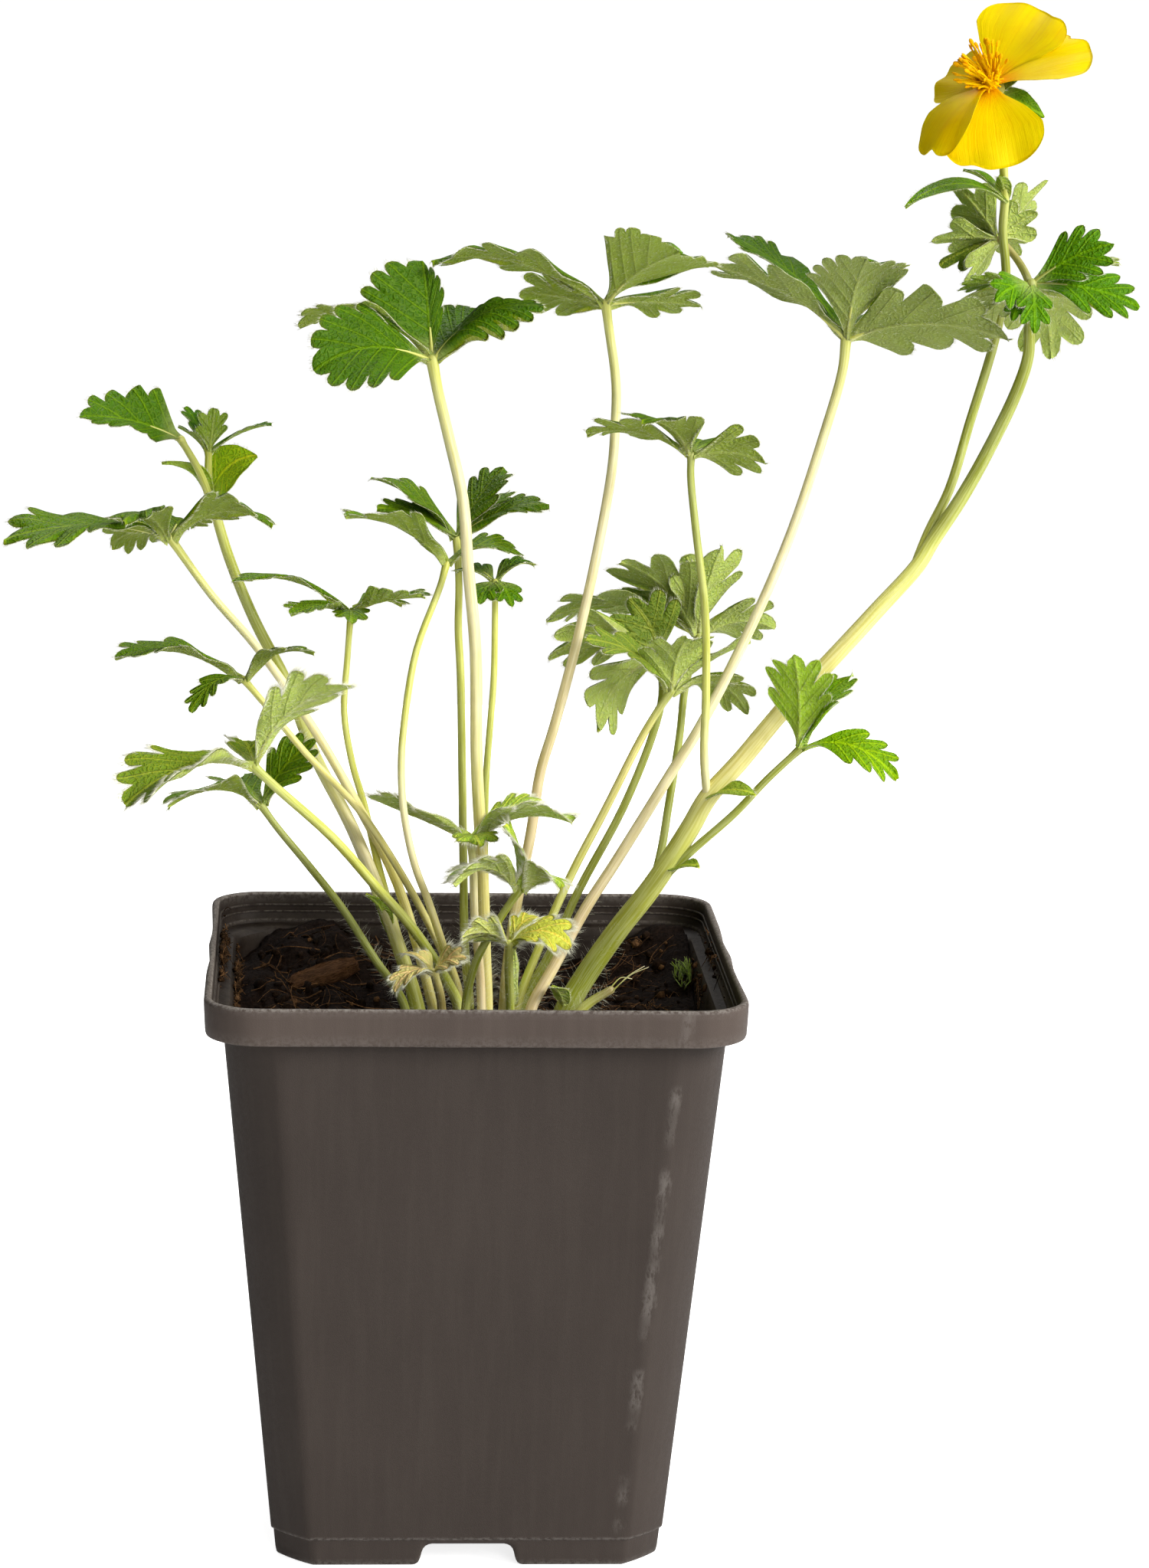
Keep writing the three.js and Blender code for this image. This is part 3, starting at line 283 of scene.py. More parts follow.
# The soil: its heaps as place, height and reach, the heights of its sides' rings, and
# how much lies on it.
SOIL_HEAPS = (
    (-25, 38, 9, 17), (-37, 8, 4.5, 17), (39, 38, 10, 15), (34, 2, 3, 14), (42, 19, 4, 7),
)
SOIL_TOP = 90
SOIL_COLUMNS = 141
SOIL_SIDES_AT = (80, 50, 20, 7, SOIL_FLOOR + 0.02)
CRUMB_COUNT = 700
FIBRE_COUNT = 820
STUCK_COUNT = 420
MOSS_COUNT = 70
MOSS_AT = (39.3, 17.0)

# The stub of an old stem and its threads, and the chip of bark.
STUB = [[18.5, -6, 80], [18.5, -6, 89.5], [20.5, -6.5, 92], [24, -7.5, 94.5]]
STUB_RADIUS = [1.05, 0.7]
STUB_THREADS = ([6.3, -1, 4.3], [5.6, -1.4, 4.6], [3.6, 0, 2.0])
CHIP_SIZE = (12, 5, 2)
CHIP_AT = np.array([-25, 15, 91.5])
CHIP_TURN = (25, -14, 12)
CHIP_RINGS = 40

# The studio: the strength of the sky at the left and the right, what the camera sees of
# it, and the lamps as place, aim, size, watts and tone, in metres.
SKY_LEFT = 0.01
SKY_RIGHT = 0.33
SKY_SEEN = 1.05
SKY_TONE = (1.0, 0.99, 0.97, 1.0)
WHITE = (1.0, 1.0, 1.0, 1.0)
LAMPS = {
    "key": ((2.4, -1.5, 1.8), (0, 0, 0.12), 1.3, 118, (1.0, 0.985, 0.96)),
    "front": ((0.9, -2.6, 1.3), (0, 0, 0.12), 1.2, 34, (1, 1, 1)),
    "back": ((-0.3, 1.8, 2.4), (0, 0, 0.15), 1.2, 34, (1, 1, 1)),
}
FLOOR_WHITE = (0.93, 0.93, 0.93)
FLOOR_GREY = (0.9, 0.9, 0.9)
FLOOR_REACH = 0.8
FLOOR_POINTS = 96

# Each basal leaf: its stalk from the soil up to the crown where the leaflets meet, the
# stalk's radius at the foot and at the crown, its leaflets, its blade colours and its
# stalk's colours from the foot up. A leaflet gives its tip seen from the crown, its
# width, how far it bows up, its turn about the midrib in degrees, the further twist
# toward its tip, how far its two halves fold up and, where they aren't the usual ones,
# the share of its length where it is broadest, how wide its two halves are and how far
# the margin of each half rolls up.
LEAVES = {
    "leaf_far_left": {
        "stalk": [
            [-4.5, 9.5, 80], [-6.5, 9, 89.5], [-12.5, 6, 110], [-20, 2, 125.5],
            [-28.5, -1, 140.5], [-37, -4, 153], [-44.5, -6, 162], [-51.5, -8, 172],
        ],
        "radius": [0.95, 0.65],
        "leaflets": [
            [[-26.6, -13, 1], 14, 2.5, 20, -50, 10],
            [[-10, 9, -2.5], 10, 2, 35, 0, 8],
            [[17, -6, 3], 12, 3.5, -25, 0, 12],
            [[3, 14, 0], 10, 2, 0, 0, 10],
            [[-7, -14, 4.5], 10, 2.5, 10, 0, 10],
        ],
        "cuts": [POINTED] * 5,
        "blade": GREYED,
        "tones": [BUTTER, BUTTER, CREAM, LIME],
    },
    "leaf_left_mid": {
        "stalk": [
            [-8.5, 7.5, 80], [-9.5, 7, 88.5], [-12, 7, 99.5], [-15.5, 6, 112],
            [-18.5, 5, 124.5], [-20.5, 4, 131.5], [-22, 4, 140.5], [-21.5, 5, 150],
            [-21, 6, 157.5],
        ],
        "radius": [0.75, 0.5],
        "leaflets": [
            [[-20, -4, 5.5], 8, 3, 5, 0, 10],
            [[12, -10, 4.5], 10, 0.7, -12, 0, 15],
            [[-10, -12, 1], 8, 1.5, 0, 0, 10],
            [[0, -9, -0.5], 6, 1, 0, 0, 5],
            [[9, 8, 0.5], 8, 1.5, 0, 0, 10],
        ],
        "blade": OLIVE,
        "tones": [BRONZE, LIME, LIME, LIME],
    },
    "leaf_left_low": {
        "stalk": [
            [-0.5, 5, 80], [-1.5, 4.5, 88.5], [-3.5, 3, 96], [-7, 0, 104],
            [-13, -4, 115.5], [-19.5, -6, 125.5], [-28.5, -8, 135.5], [-36, -8, 144.5],
            [-39, -8, 148],
        ],
        "radius": [0.75, 0.55],
        "leaflets": [
            [[-21, -8, 4.5], 11, 3, 0, 0, 12],
            [[11.5, -6, 5.5], 8, 2.5, -10, 0, 12],
            [[-8.5, -14, -3], 5, 2.5, 0, 0, 10],
        ],
        "blade": GREYED,
        "tones": [BRONZE, BUTTER, BUTTER, LIME],
    },
    "leaf_front_left": {
        "stalk": [
            [-1.5, -6, 80], [-2, -6, 91], [-4.5, -7, 96.5], [-10, -10, 105.5],
            [-16.5, -15, 114], [-24, -20, 123.5], [-33.5, -25, 133], [-37, -26, 136.5],
        ],
        "radius": [1.0, 0.75],
        "leaflets": [
            [[15.5, -5, 14.5], 11, 3.5, -40, 0, 20],
            [[-20.5, -15.1, -3.5], 15, 3.5, 10, -35, 10, 0.7, (1, 1), (2.6, 0)],
            [[-2, 9, 2.5], 7, 1, 0, 0, 10],
        ],
        "blade": HOARY,
        "tones": [LIME, MOSS_GREEN, LIME, MOSS_GREEN],
    },
    "leaf_low_left": {
        "stalk": [
            [-10.5, 1, 80], [-11, 1, 89], [-13, 1, 93], [-16, 2, 97], [-22, 4, 106],
            [-28, 5, 113.5], [-33.5, 6, 120], [-36, 6, 123.5],
        ],
        "radius": [0.85, 0.6],
        "leaflets": [
            [[-15.5, -12, 2], 11, 3.5, 20, 0, 10],
            [[9, -1, 12], 9, 1, 50, 0, 12],
            [[-7, 14, 1], 9, 2, 0, 0, 10],
        ],
        "blade": OLIVE,
        "tones": [MOSS_GREEN, MOSS_GREEN, GRASS, MOSS_GREEN],
    },
    "leaf_dark": {
        "stalk": [
            [3, 0, 80], [3, -1, 90], [2.5, -2, 99.5], [2, -3, 111], [1.5, -4, 119],
            [0.5, -5, 134], [0, -5.5, 153], [-1.5, -6, 167.5], [-2.5, -6, 178.5],
            [-5, -6, 189], [-7, -6, 197], [-8, -6, 202],
        ],
        "radius": [1.15, 0.9],
        "leaflets": [
            [[-19.5, -10, -1], 17.5, 3, -45, 0, 8],
            [[-1.5, 8, 15.5], 19, 1, 0, 0, 10, 0.6, (1.25, 0.3)],
            [[18, -5, 9.5], 10, 3.2, 16, 0, 4, 0.6, (1, 1), (0, -3.5)],
            [[9, 11, 7], 13, 1, 0, 0, 10],
            [[-22, 8, 4.5], 12, 5, 10, 0, 10],
        ],
        "cuts": [CRENATE] * 5,
        "blade": DARK,
        "tones": [BUTTER, BUTTER, CREAM, LIME],
    },
    "leaf_top_centre": {
        "stalk": [
            [6, 9.5, 80], [6.5, 9, 87.5], [7, 9, 95], [8.5, 8, 107], [10.5, 7, 118.5],
            [12, 6, 130], [14, 5, 137.5], [17.5, 3, 152.5], [20.5, 2, 167.5],
            [23, 3, 182.5], [23.5, 4, 189.5], [23.5, 4, 197.5], [22, 4, 207.5],
            [21.5, 4, 211],
        ],
        "radius": [1.0, 0.75],
        "leaflets": [
            [[-29.5, -6, 7.2], 12, 3.4, 18, 0, 8],
            [[11, -15, 10], 22, 1.5, -20, 0, 12, 0.84],
            [[-14, 7, 1], 11, 0.4, 45, 0, 5],
            [[16.5, 8, -0.5], 9.5, 0.5, -32, 0, 5],
        ],
        "cuts": [LOBED, TOOTHED._replace(depth=0.08), FINGERED, FINGERED],
        "curls": [
            [[3.4, -12, 10.9], [4.2, -1, 0.2], 1.7, 0.3, 70, 0, 5],
            [[7.6, -12.4, 10.9], [4.2, -1, -1.2], 1.5, 0.3, 70, 0, 5],
        ],
        "blade": GREYED,
        "tones": [BUTTER, PINKISH, CREAM, LIME],
    },
    "leaf_top_right": {
        "stalk": [
            [10, -2, 80], [10.5, -1.5, 89], [14.5, -1, 97], [20, -0.5, 107.5],
            [25, 0, 115.5], [34.5, 0.5, 131.5], [39, 1, 139], [47.5, 2, 156.5],
            [54, 3, 172.5], [59, 4, 188.5], [62, 4, 200], [62.5, 4, 205.5],
        ],
        "radius": [1.05, 0.8],
        "leaflets": [
            [[-25, -2, 12.5], 12, 2.5, 25, 0, 10],
            [[1.5, -14, 15], 17, 2, 0, 0, 10],
            [[26, -10.5, 1], 15, 3.2, -55, 10, 5, 0.42],
            [[-19, 16, 16], 9, 2.5, 0, 0, 10],
            [[5, 14, 1.5], 11, 2.5, 0, 0, 10],
        ],
        "cuts": [FINGERED, TOOTHED, LOBED, TOOTHED, FINGERED],
        "blade": DARK_GREYED,
        "tones": [PINKISH, PINKISH, CREAM, CREAM, LIME],
    },
    "leaf_centre_lower": {
        "stalk": [
            [7.5, 1.5, 80], [8.5, 1.5, 89.5], [12, 2, 99.5], [17.5, 3, 112.5],
            [23, 3.5, 123.5], [29, 4, 136], [31.5, 4, 140.5], [34, 4, 144.5],
        ],
        "radius": [0.8, 0.65],
        "leaflets": [
            [[2, -7, 10.5], 14, 1.5, 0, 0, 8],
            [[14, 6, 7.5], 9, 1.5, -20, 0, 10],
            [[14, 7, -5], 10, 4, -30, 0, 5],
            [[-15, -9, 10.5], 9, 2, -30, 0, 10],
        ],
        "sheath": [[8.3, 1.2, 90], [-1, -3, 12], 3.5, 0.5, 80, 0, 12],
        "cuts": [FINGERED] * 4,
        "blade": SILVERY,
        "tones": [LIME, LIME, BUTTER, MOSS_GREEN],
    },
    "leaf_centre_mid": {
        "stalk": [
            [9, 5.5, 80], [9.5, 5, 88.5], [14.5, 5.5, 98.5], [19, 6, 109],
            [26.5, 7, 123.5], [31.5, 8, 136.5], [33, 9, 143], [32.5, 9.5, 149.5],
        ],
        "radius": [0.8, 0.65],
        "leaflets": [
            [[-19, 5, -1], 16, 3.5, 40, 0, 5],
            [[-5.5, 0, 10], 13, 1, -85, 0, 8],
            [[-11, -5, -12], 12, 3, 75, 0, 5],
        ],
        "cuts": [FINGERED] * 3,
        "blade": SILVERY,
        "tones": [MOSS_GREEN, MOSS_GREEN, MOSS_GREEN, GRASS],
    },
    "leaf_low_centre": {
        "stalk": [
            [2, -4.5, 80], [2, -4.5, 90.5], [1.5, -5.5, 98.5], [0.5, -7, 106.5],
            [0, -9, 116.5], [-0.5, -9.5, 121],
        ],
        "radius": [0.8, 0.65],
        "leaflets": [
            [[-17, 0.5, 7.5], 11, 0, 15, 0, 10],
            [[16.5, -8, 4.5], 13, 3, -15, 0, 10],
            [[12, 4.5, 6], 8, 1.5, 0, 0, 10],
            [[1, -9, 1.5], 8, 1, 0, 0, 10],
        ],
        "blade": PALE,
        "tones": [CREAM, PINKISH, CREAM, LIME],
    },
    "leaf_small_centre": {
        "stalk": [
            [-1, -10.5, 80], [-1, -11, 91.5], [-0.5, -12.5, 96.5], [1, -14, 102],
            [4.5, -16, 109], [7.5, -17, 114],
        ],
        "radius": [0.8, 0.65],
        "leaflets": [
            [[-10.5, -5, 1.5], 11, 3.5, 25, 0, 14],
            [[-2.5, -2, 11.5], 9, 1, -35, 0, 16],
            [[7, -4, 1.5], 9, 2.5, -30, 0, 12],
        ],
        "blade": PALE,
        "tones": [LIME, GRASS, GRASS, GRASS],
    },
    "leaf_yellow": {
        "stalk": [[6.5, -12, 80], [6.5, -14, 92.5], [6, -17, 100.5], [6, -18.5, 105]],
        "radius": [0.8, 0.7],
        "leaflets": [
            [[10, -5, 1], 9, 2.5, 20, 0, 10],
            [[-8, -3.5, 1.8], 7, 1.5, 50, 0, 10],
            [[5, 5, 3.5], 5, 1.5, 0, 0, 10],
        ],
        "blade": LEMON,
        "tones": [GRASS, MOSS_GREEN, LIME],
    },
    "leaf_dry": {
        "stalk": [[-4.5, -9, 80], [-5, -11, 91.5], [-5.5, -13, 95.5], [-6.5, -14.5, 99]],
        "radius": [0.8, 0.7],
        "leaflets": [
            [[-6.5, -5, -2], 5, 2, 0, 0, 20],
            [[5, -4, 3.6], 5, 1, 45, 0, 20],
            [[-5, 1, 3], 5, 1, 0, 0, 20],
        ],
        "blade": STRAW,
        "tones": [BRONZE, BRONZE, BUTTER],
    },
    "leaf_centre_back": {
        "stalk": [
            [0.5, 10, 80], [0.5, 9, 87.5], [-0.5, 8.5, 97.5], [-1, 8, 112.5],
            [-1.5, 8, 130.5], [-2, 8, 146.5], [-2.5, 8, 154.5], [-2.5, 8, 162.5],
            [-3, 8, 170],
        ],
        "radius": [0.8, 0.6],
        "leaflets": [
            [[-14.5, 3, 10], 10, 1.5, 0, 0, 10],
            [[-13.5, -2, 5.5], 9, 1.5, -15, 0, 10],
            [[8, 7, 11.5], 10, 1, 0, 0, 10],
            [[15.5, -1, 6], 9, 2, 10, 0, 10],
            [[9, 10, 6.5], 8, 1.5, 0, 0, 10],
        ],
        "blade": GREYED,
        "tones": [LIME, MOSS_GREEN, LIME, LIME],
    },
    "leaf_centre_left": {
        "stalk": [
            [-1.5, -2, 80], [-1.5, -2, 89.5], [-2, -3, 93.5], [-4.5, -6.5, 101],
            [-7.5, -11, 110.5], [-10, -13.5, 117.5], [-12, -15.5, 127],
            [-12.5, -14, 134.5], [-12, -10.5, 141.5], [-10, -6, 153],
            [-6, -2.5, 163.5], [-5, -1, 167],
        ],
        "radius": [0.75, 0.55],
        "leaflets": [
            [[-17, -9, 8.5], 12, 3, 10, 0, 10],
            [[13, 1.5, 1.5], 8, 2.5, 10, 0, 10],
        ],
        "blade": OLIVE,
        "tones": [BRONZE, BUTTER, CREAM, LIME, LIME],
    },
    "leaf_hidden": {
        "stalk": [
            [3.5, 6.5, 80], [3.5, 6, 88], [3, 5.5, 104], [2.5, 5, 117.5],
            [2.5, 4, 128.5], [3, 3, 138], [3.5, 2, 147.5], [3.5, 2, 160],
            [3.5, 2, 163.5],
        ],
        "radius": [0.7, 0.5],
        "leaflets": [
            [[-3, -6, -2.5], 6, 1, 0, 0, 5],
            [[2.5, -6, -3], 6, 1, 0, 0, 5],
            [[6.5, 3, 2.5], 7, 1.5, 0, 0, 10],
            [[-6, 5, 1], 7, 1.5, 0, 0, 10],
        ],
        "blade": DARK,
        "tones": [LIME, MOSS_GREEN, LIME, LIME],
    },
}

# The leafy shoot at the left: its stem, a leaf and a tuft at the top, and bracts.
THIN_STALK_RADIUS = [0.75, 0.6]
SHOOT_STEM = [
    [-7, 3, 80], [-9, 2.5, 89.5], [-11, 3, 96], [-15, 4, 107], [-20.5, 6, 120],
    [-27, 9, 132], [-32, 11, 144.5], [-37.5, 12, 155], [-42, 12, 166], [-45, 12, 176],
]
SHOOT_RADIUS = [1.35, 0.85]
SHOOT_TONES = [MOSS_GREEN, LIME, CREAM, LIME, MOSS_GREEN, LIME]
SHOOT_LEAF_STALK = [[-45, 12, 175.5], [-47, 9, 181], [-50, 4, 187]]
SHOOT_LEAF = [
    [[-16.5, -6, 4], 10.5, 1.5, -60, 35, 8, 0.34, (0.45, 1.35)],
    [[-9, 9, 1.5], 8, 1.5, 0, 0, 10],
]
SHOOT_TUFT_STALK = [[-45, 12, 175.5], [-45.5, 12, 180], [-45.5, 12, 184]]
SHOOT_TUFT = [
    [[-5, 1, 4], 5, 0.5, 20, 0, 10],
    [[1, -2, 7.5], 6, 0, 0, 0, 10],
    [[10.5, -2, 5], 5, 1, 0, 0, 10],
    [[-4, 4, 7], 5, 0.5, 0, 0, 10],
]
SHOOT_BRACTS = [
    [[-45, 12, 176], [8, -4, 8], 9, 2, 62, 0, 8],
    [[-45, 12, 176], [-8.5, -4, 6.5], 4.5, 2, 20, 0, 15],
    [[-14, 3.5, 102], [-4, -1, 7], 4, 1, 30, 0, 15],
]

# The flowering stem and its two upper branches: the one that bears the flower, and the
# leafy one with leaves at its end and round its node, in their colours and cuts.
FLOWER_STEM = [
    [14, 1, 80], [17, 0, 89.5], [20.5, -0.5, 96], [25.5, -2, 104], [31, -4, 112],
    [37, -6, 122.5], [40, -6, 128], [45.5, -6, 134.5], [52.5, -5, 143],
    [60.5, -4, 151.5], [68.5, -2, 160], [75.5, 0, 167.5], [78, 1, 171.5],
]
FLOWER_STEM_RADIUS = [2.1, 0.86]
FLOWER_STEM_TONES = [GRASS, GRASS, LIME, BUTTER, BUTTER, LIME, MOSS_GREEN, GRASS, GRASS]
FLOWER_STALK = [
    [74.8, -0.1, 166.8], [77.4, 2.2, 172.8], [81, 4, 180], [84.5, 7, 191],
    [89, 10, 206], [90.5, 11, 215.5], [89.5, 10, 224], [89.5, 9, 229], [89, 8, 234],
    [88.5, 7.5, 241], [87, 7, 245.5],
]
FLOWER_STALK_RADIUS = [0.85, 0.7]
FLOWER_STALK_TONES = [LIME, MOSS_GREEN, MOSS_GREEN, LIME, LIME]
LEAFY_BRANCH = [
    [82.5, 0, 179], [86.5, -1, 187], [91, -3, 198], [92.5, -4, 204],
    [92.5, -4, 209], [92.5, -4, 216],
]
BRANCH_END_LEAVES = [
    [[13, -3, 7], 10, 1, 60, 0, 6],
    [[17.7, -3, -3.5], 9.5, 1.5, 50, 0, 5],
]
BRANCH_NODE_LEAVES = (
    (PALE, FINGERED, [
        [[16, 8, 3], 8, 1, -20, 0, 8],
        [[5, 7, -13], 14, 2, -20, 0, 5],
        [[-8.5, 7, -11], 13, 2.5, 20, 0, 5],
    ]),
    (YOUNG, POINTED, [
        [[-11.5, 4, -1.5], 5.5, 1, 30, 0, 5],
        [[-6.5, -5, -2.5], 7, 1, -50, 0, 5],
        [[0, -6, -7.5], 6, 1.5, 0, 0, 5],
        [[-3.5, -4.5, -5.5], 4.5, 0.5, -30, 0, 5],
    ]),
)

# The leaves along the flowering stem: stalk, leaflets, colours of blade and stalk, cut.
CLUSTER_STALK = [[92.5, -3, 214], [93.5, 6, 216], [92.5, 14, 219], [90, 17, 222]]
CLUSTER_LEAVES = [
    [[-8, 2, 9], 9, 0.5, 70, 0, 6],
    [[-7.5, 6, 4], 7, 0.5, -60, 0, 6],
    [[-11.5, 0, -0.5], 7, 0.5, 50, 0, 6],
    [[-9.5, 3, -5], 7, 0.5, -50, 0, 5],
    [[-5, 0, -8], 8, 0.5, 40, 0, 5],
    [[6, -1, 4.5], 8, 0.5, -70, 0, 6],
    [[8.5, 4, 9.5], 7, 0.5, -70, 0, 6],
    [[4, 3, -3], 6, 0.5, -30, 0, 5],
]
MID_LEAF_STALK = [
    [40, -6, 127], [39, -8, 136], [39, -9, 145.5], [38.5, -9, 160.5], [36.5, -9, 175],
    [35.5, -9, 183.5], [35.5, -9, 187],
]
MID_LEAF = [
    [[-9, -9, 7], 15, 2, 0, 0, 10],
    [[-17, 6, 2.5], 10, 2.5, 25, 0, 8],
    [[12, -3, -1], 10, 1.5, -55, 0, 5],
    [[4, 12, 0], 9, 1.5, 0, 0, 10],
]
UPPER_LEAF_STALK = [
    [31, -4, 112], [33, 3, 117], [34.5, 8, 124], [36.5, 13, 135], [37.5, 16, 143],
    [39, 16, 149.5], [39.5, 16, 152.5],
]
UPPER_LEAF = [
    [[-14, -7, 13.5], 16, 2, 30, 0, 8],
    [[3, -5, 16], 15, 1, 0, 0, 8],
    [[-26, 4, 1.5], 13, 4.5, 25, 0, 5],
    [[13.5, 3, 0.5], 12, 2, -45, 0, 5],
]
LOW_LEAF_STALK = [
    [33, -5, 114], [37.5, -7, 119], [44.5, -9, 126], [49.5, -10.5, 132], [55, -11, 137.5],
]
LOW_LEAF = [
    [[-2, -4, 16.5], 12.5, 1.5, 0, 0, 10],
    [[9, 4, 12], 12.5, 1.5, 0, 0, 8],
    [[15.5, -8, -3.5], 8.5, 3.2, 32, 0, 5],
]
STEM_LEAVES = (
    (CLUSTER_STALK, CLUSTER_LEAVES, SILVERY, [MOSS_GREEN, BRONZE], TREFOIL),
    (MID_LEAF_STALK, MID_LEAF, GREYED, [CREAM, LIME, MOSS_GREEN, GRASS], FINGERED),
    (UPPER_LEAF_STALK, UPPER_LEAF, SILVERY, [GRASS, MOSS_GREEN, GRASS], FINGERED),
    (LOW_LEAF_STALK, LOW_LEAF, SPRING, [MOSS_GREEN, MOSS_GREEN, GRASS], POINTED),
)
STEM_BRACTS = [
    [[40, -6, 128], [7.5, -8, 2], 5, 1, 20, 0, 10],
    [[34, -5, 115], [4.5, -6, 2], 4, 0.5, 20, 0, 10],
    [[89.5, 9, 229], [-18.5, -10, -1], 4.5, 3.4, -20, 0, 5],
    [[89.5, 9, 229], [-7, 3, 5], 4.5, 1, 0, 0, 10],
    [[89.5, 9, 229], [-1.5, -3, 4.5], 3, 0.5, 0, 0, 10],
    [[16.5, -1.5, 90.5], [-2.5, -5, 4.5], 3.5, 0.5, 0, 0, 10],
]

# The flower. Each petal has a ruffle's height, and a dent's place and depth at its end.
FLOWER_CENTRE = np.array([86.0, 6.0, 248.5])
FLOWER_FACES = np.array([-0.35, -0.75, 0.55])
PETALS = [
    [[8.5, 7, 13], 17, 1, 0, 0, 1],
    [[16.5, -1, 6], 14, 1.5, -20, 0, 6],
    [[0.5, -9, -13.5], 18, 2, 0, 0, 4],
    [[-10, -4, -12], 14, 3.5, 30, 0, 8],
    [[-6.5, 10, 0.5], 12, 1, 0, 0, 6],
]
PETAL_RUFFLES = (0.3, 0.8, 0.7, 1.2, 0.6)
PETAL_DENTS = ((0.45, 0.05), (-0.5, 0.1), (0.45, 0.05), (-0.1, 0.07), (0, 0.03))
PETAL_THICKNESS = 0.3
SEPALS = [
    [[-5, -6.5, -9], 5, 0.5, 0, 0, 5],
    [[8.6, -2, -4.2], 4.4, 0.8, 0, 0, 5],
    [[9, 3, 8], 5, 0.5, 0, 0, 5],
    [[1, 8.5, 5], 4.5, 0, 0, 0, 5],
    [[-8, 3.5, -6.5], 4.5, 0, 0, 0, 5],
]
CUP_RADIUS = 2.1
CUP_DEPTH = 1.4
CUP_BEHIND = 1.9

# Its eye. Stamens and styles follow each other round it by the golden turn, in radians.
SPIRAL_TURN = 2.4
STAMEN_COUNT = 50
STAMEN_LENGTH = 6.2
STAMEN_DRIFT = np.array([-0.34, 0.0, 0.3])
FILAMENT_RADIUS = (0.26, 0.15)
ANTHER_LENGTH = 1.32
ANTHER_RADIUS = 0.31
STYLE_COUNT = 46
STYLE_RADIUS = (0.2, 0.13)
DISC_RISE = 2.6


def unit(v):
    """A vector, or rows of vectors, at length 1."""
    v = np.asarray(v, float)
    return v / np.maximum(np.linalg.norm(v, axis=-1, keepdims=True), 1e-9)


def circle(count):
    """The angles of evenly spaced points round a circle."""
    return np.arange(count) * 2 * math.pi / count


def spokes(angles, side, other):
    """Steps of length 1 out from an axis, at angles round it."""
    return np.cos(angles)[:, None] * side + np.sin(angles)[:, None] * other


def to_frame(points):
    """Points of the pot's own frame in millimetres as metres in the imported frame."""
    return (np.asarray(points) + POT_OFFSET) * MM


def grid_faces(rows, columns, start=0, flip=False):
    """Quads of a grid whose points are numbered row by row."""
    i, j = np.meshgrid(np.arange(rows - 1), np.arange(columns - 1), indexing="ij")
    a = (start + i * columns + j).ravel()
    quads = np.stack([a, a + 1, a + columns + 1, a + columns], axis=1)
    return quads[:, ::-1] if flip else quads


def rim_of(rows, columns):
    """The point numbers around a grid."""
    index = np.arange(rows * columns).reshape(rows, columns)
    return np.concatenate([index[0], index[1:, -1], index[-1, -2::-1], index[-2:0:-1, 0]])


def tube_faces(rings, count, start=0):
    """Quads between closed rings that follow each other."""
    ring = np.arange(count)
    following = (ring + 1) % count
    steps = start + np.arange(rings - 1)[:, None] * count
    corners = (steps + ring, steps + following, steps + following + count, steps + ring + count)
    return np.stack(corners, axis=-1).reshape(-1, 4)


def spread(values, total, default):
    """One row of values for each point."""
    rows = np.asarray(default if values is None else values, float)
    if rows.ndim == 1 and len(default) == 1 and len(rows) == total:
        rows = rows.reshape(total, 1)
    return np.broadcast_to(rows, (total, len(default))).copy()


def place_piece(made, nodes):
    """Links an object, gives it to the fixed body and hides the parts it stands for."""
    bpy.context.scene.collection.objects.link(made)
    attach(made, "root")
    if nodes:
        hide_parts(*nodes)
    return made


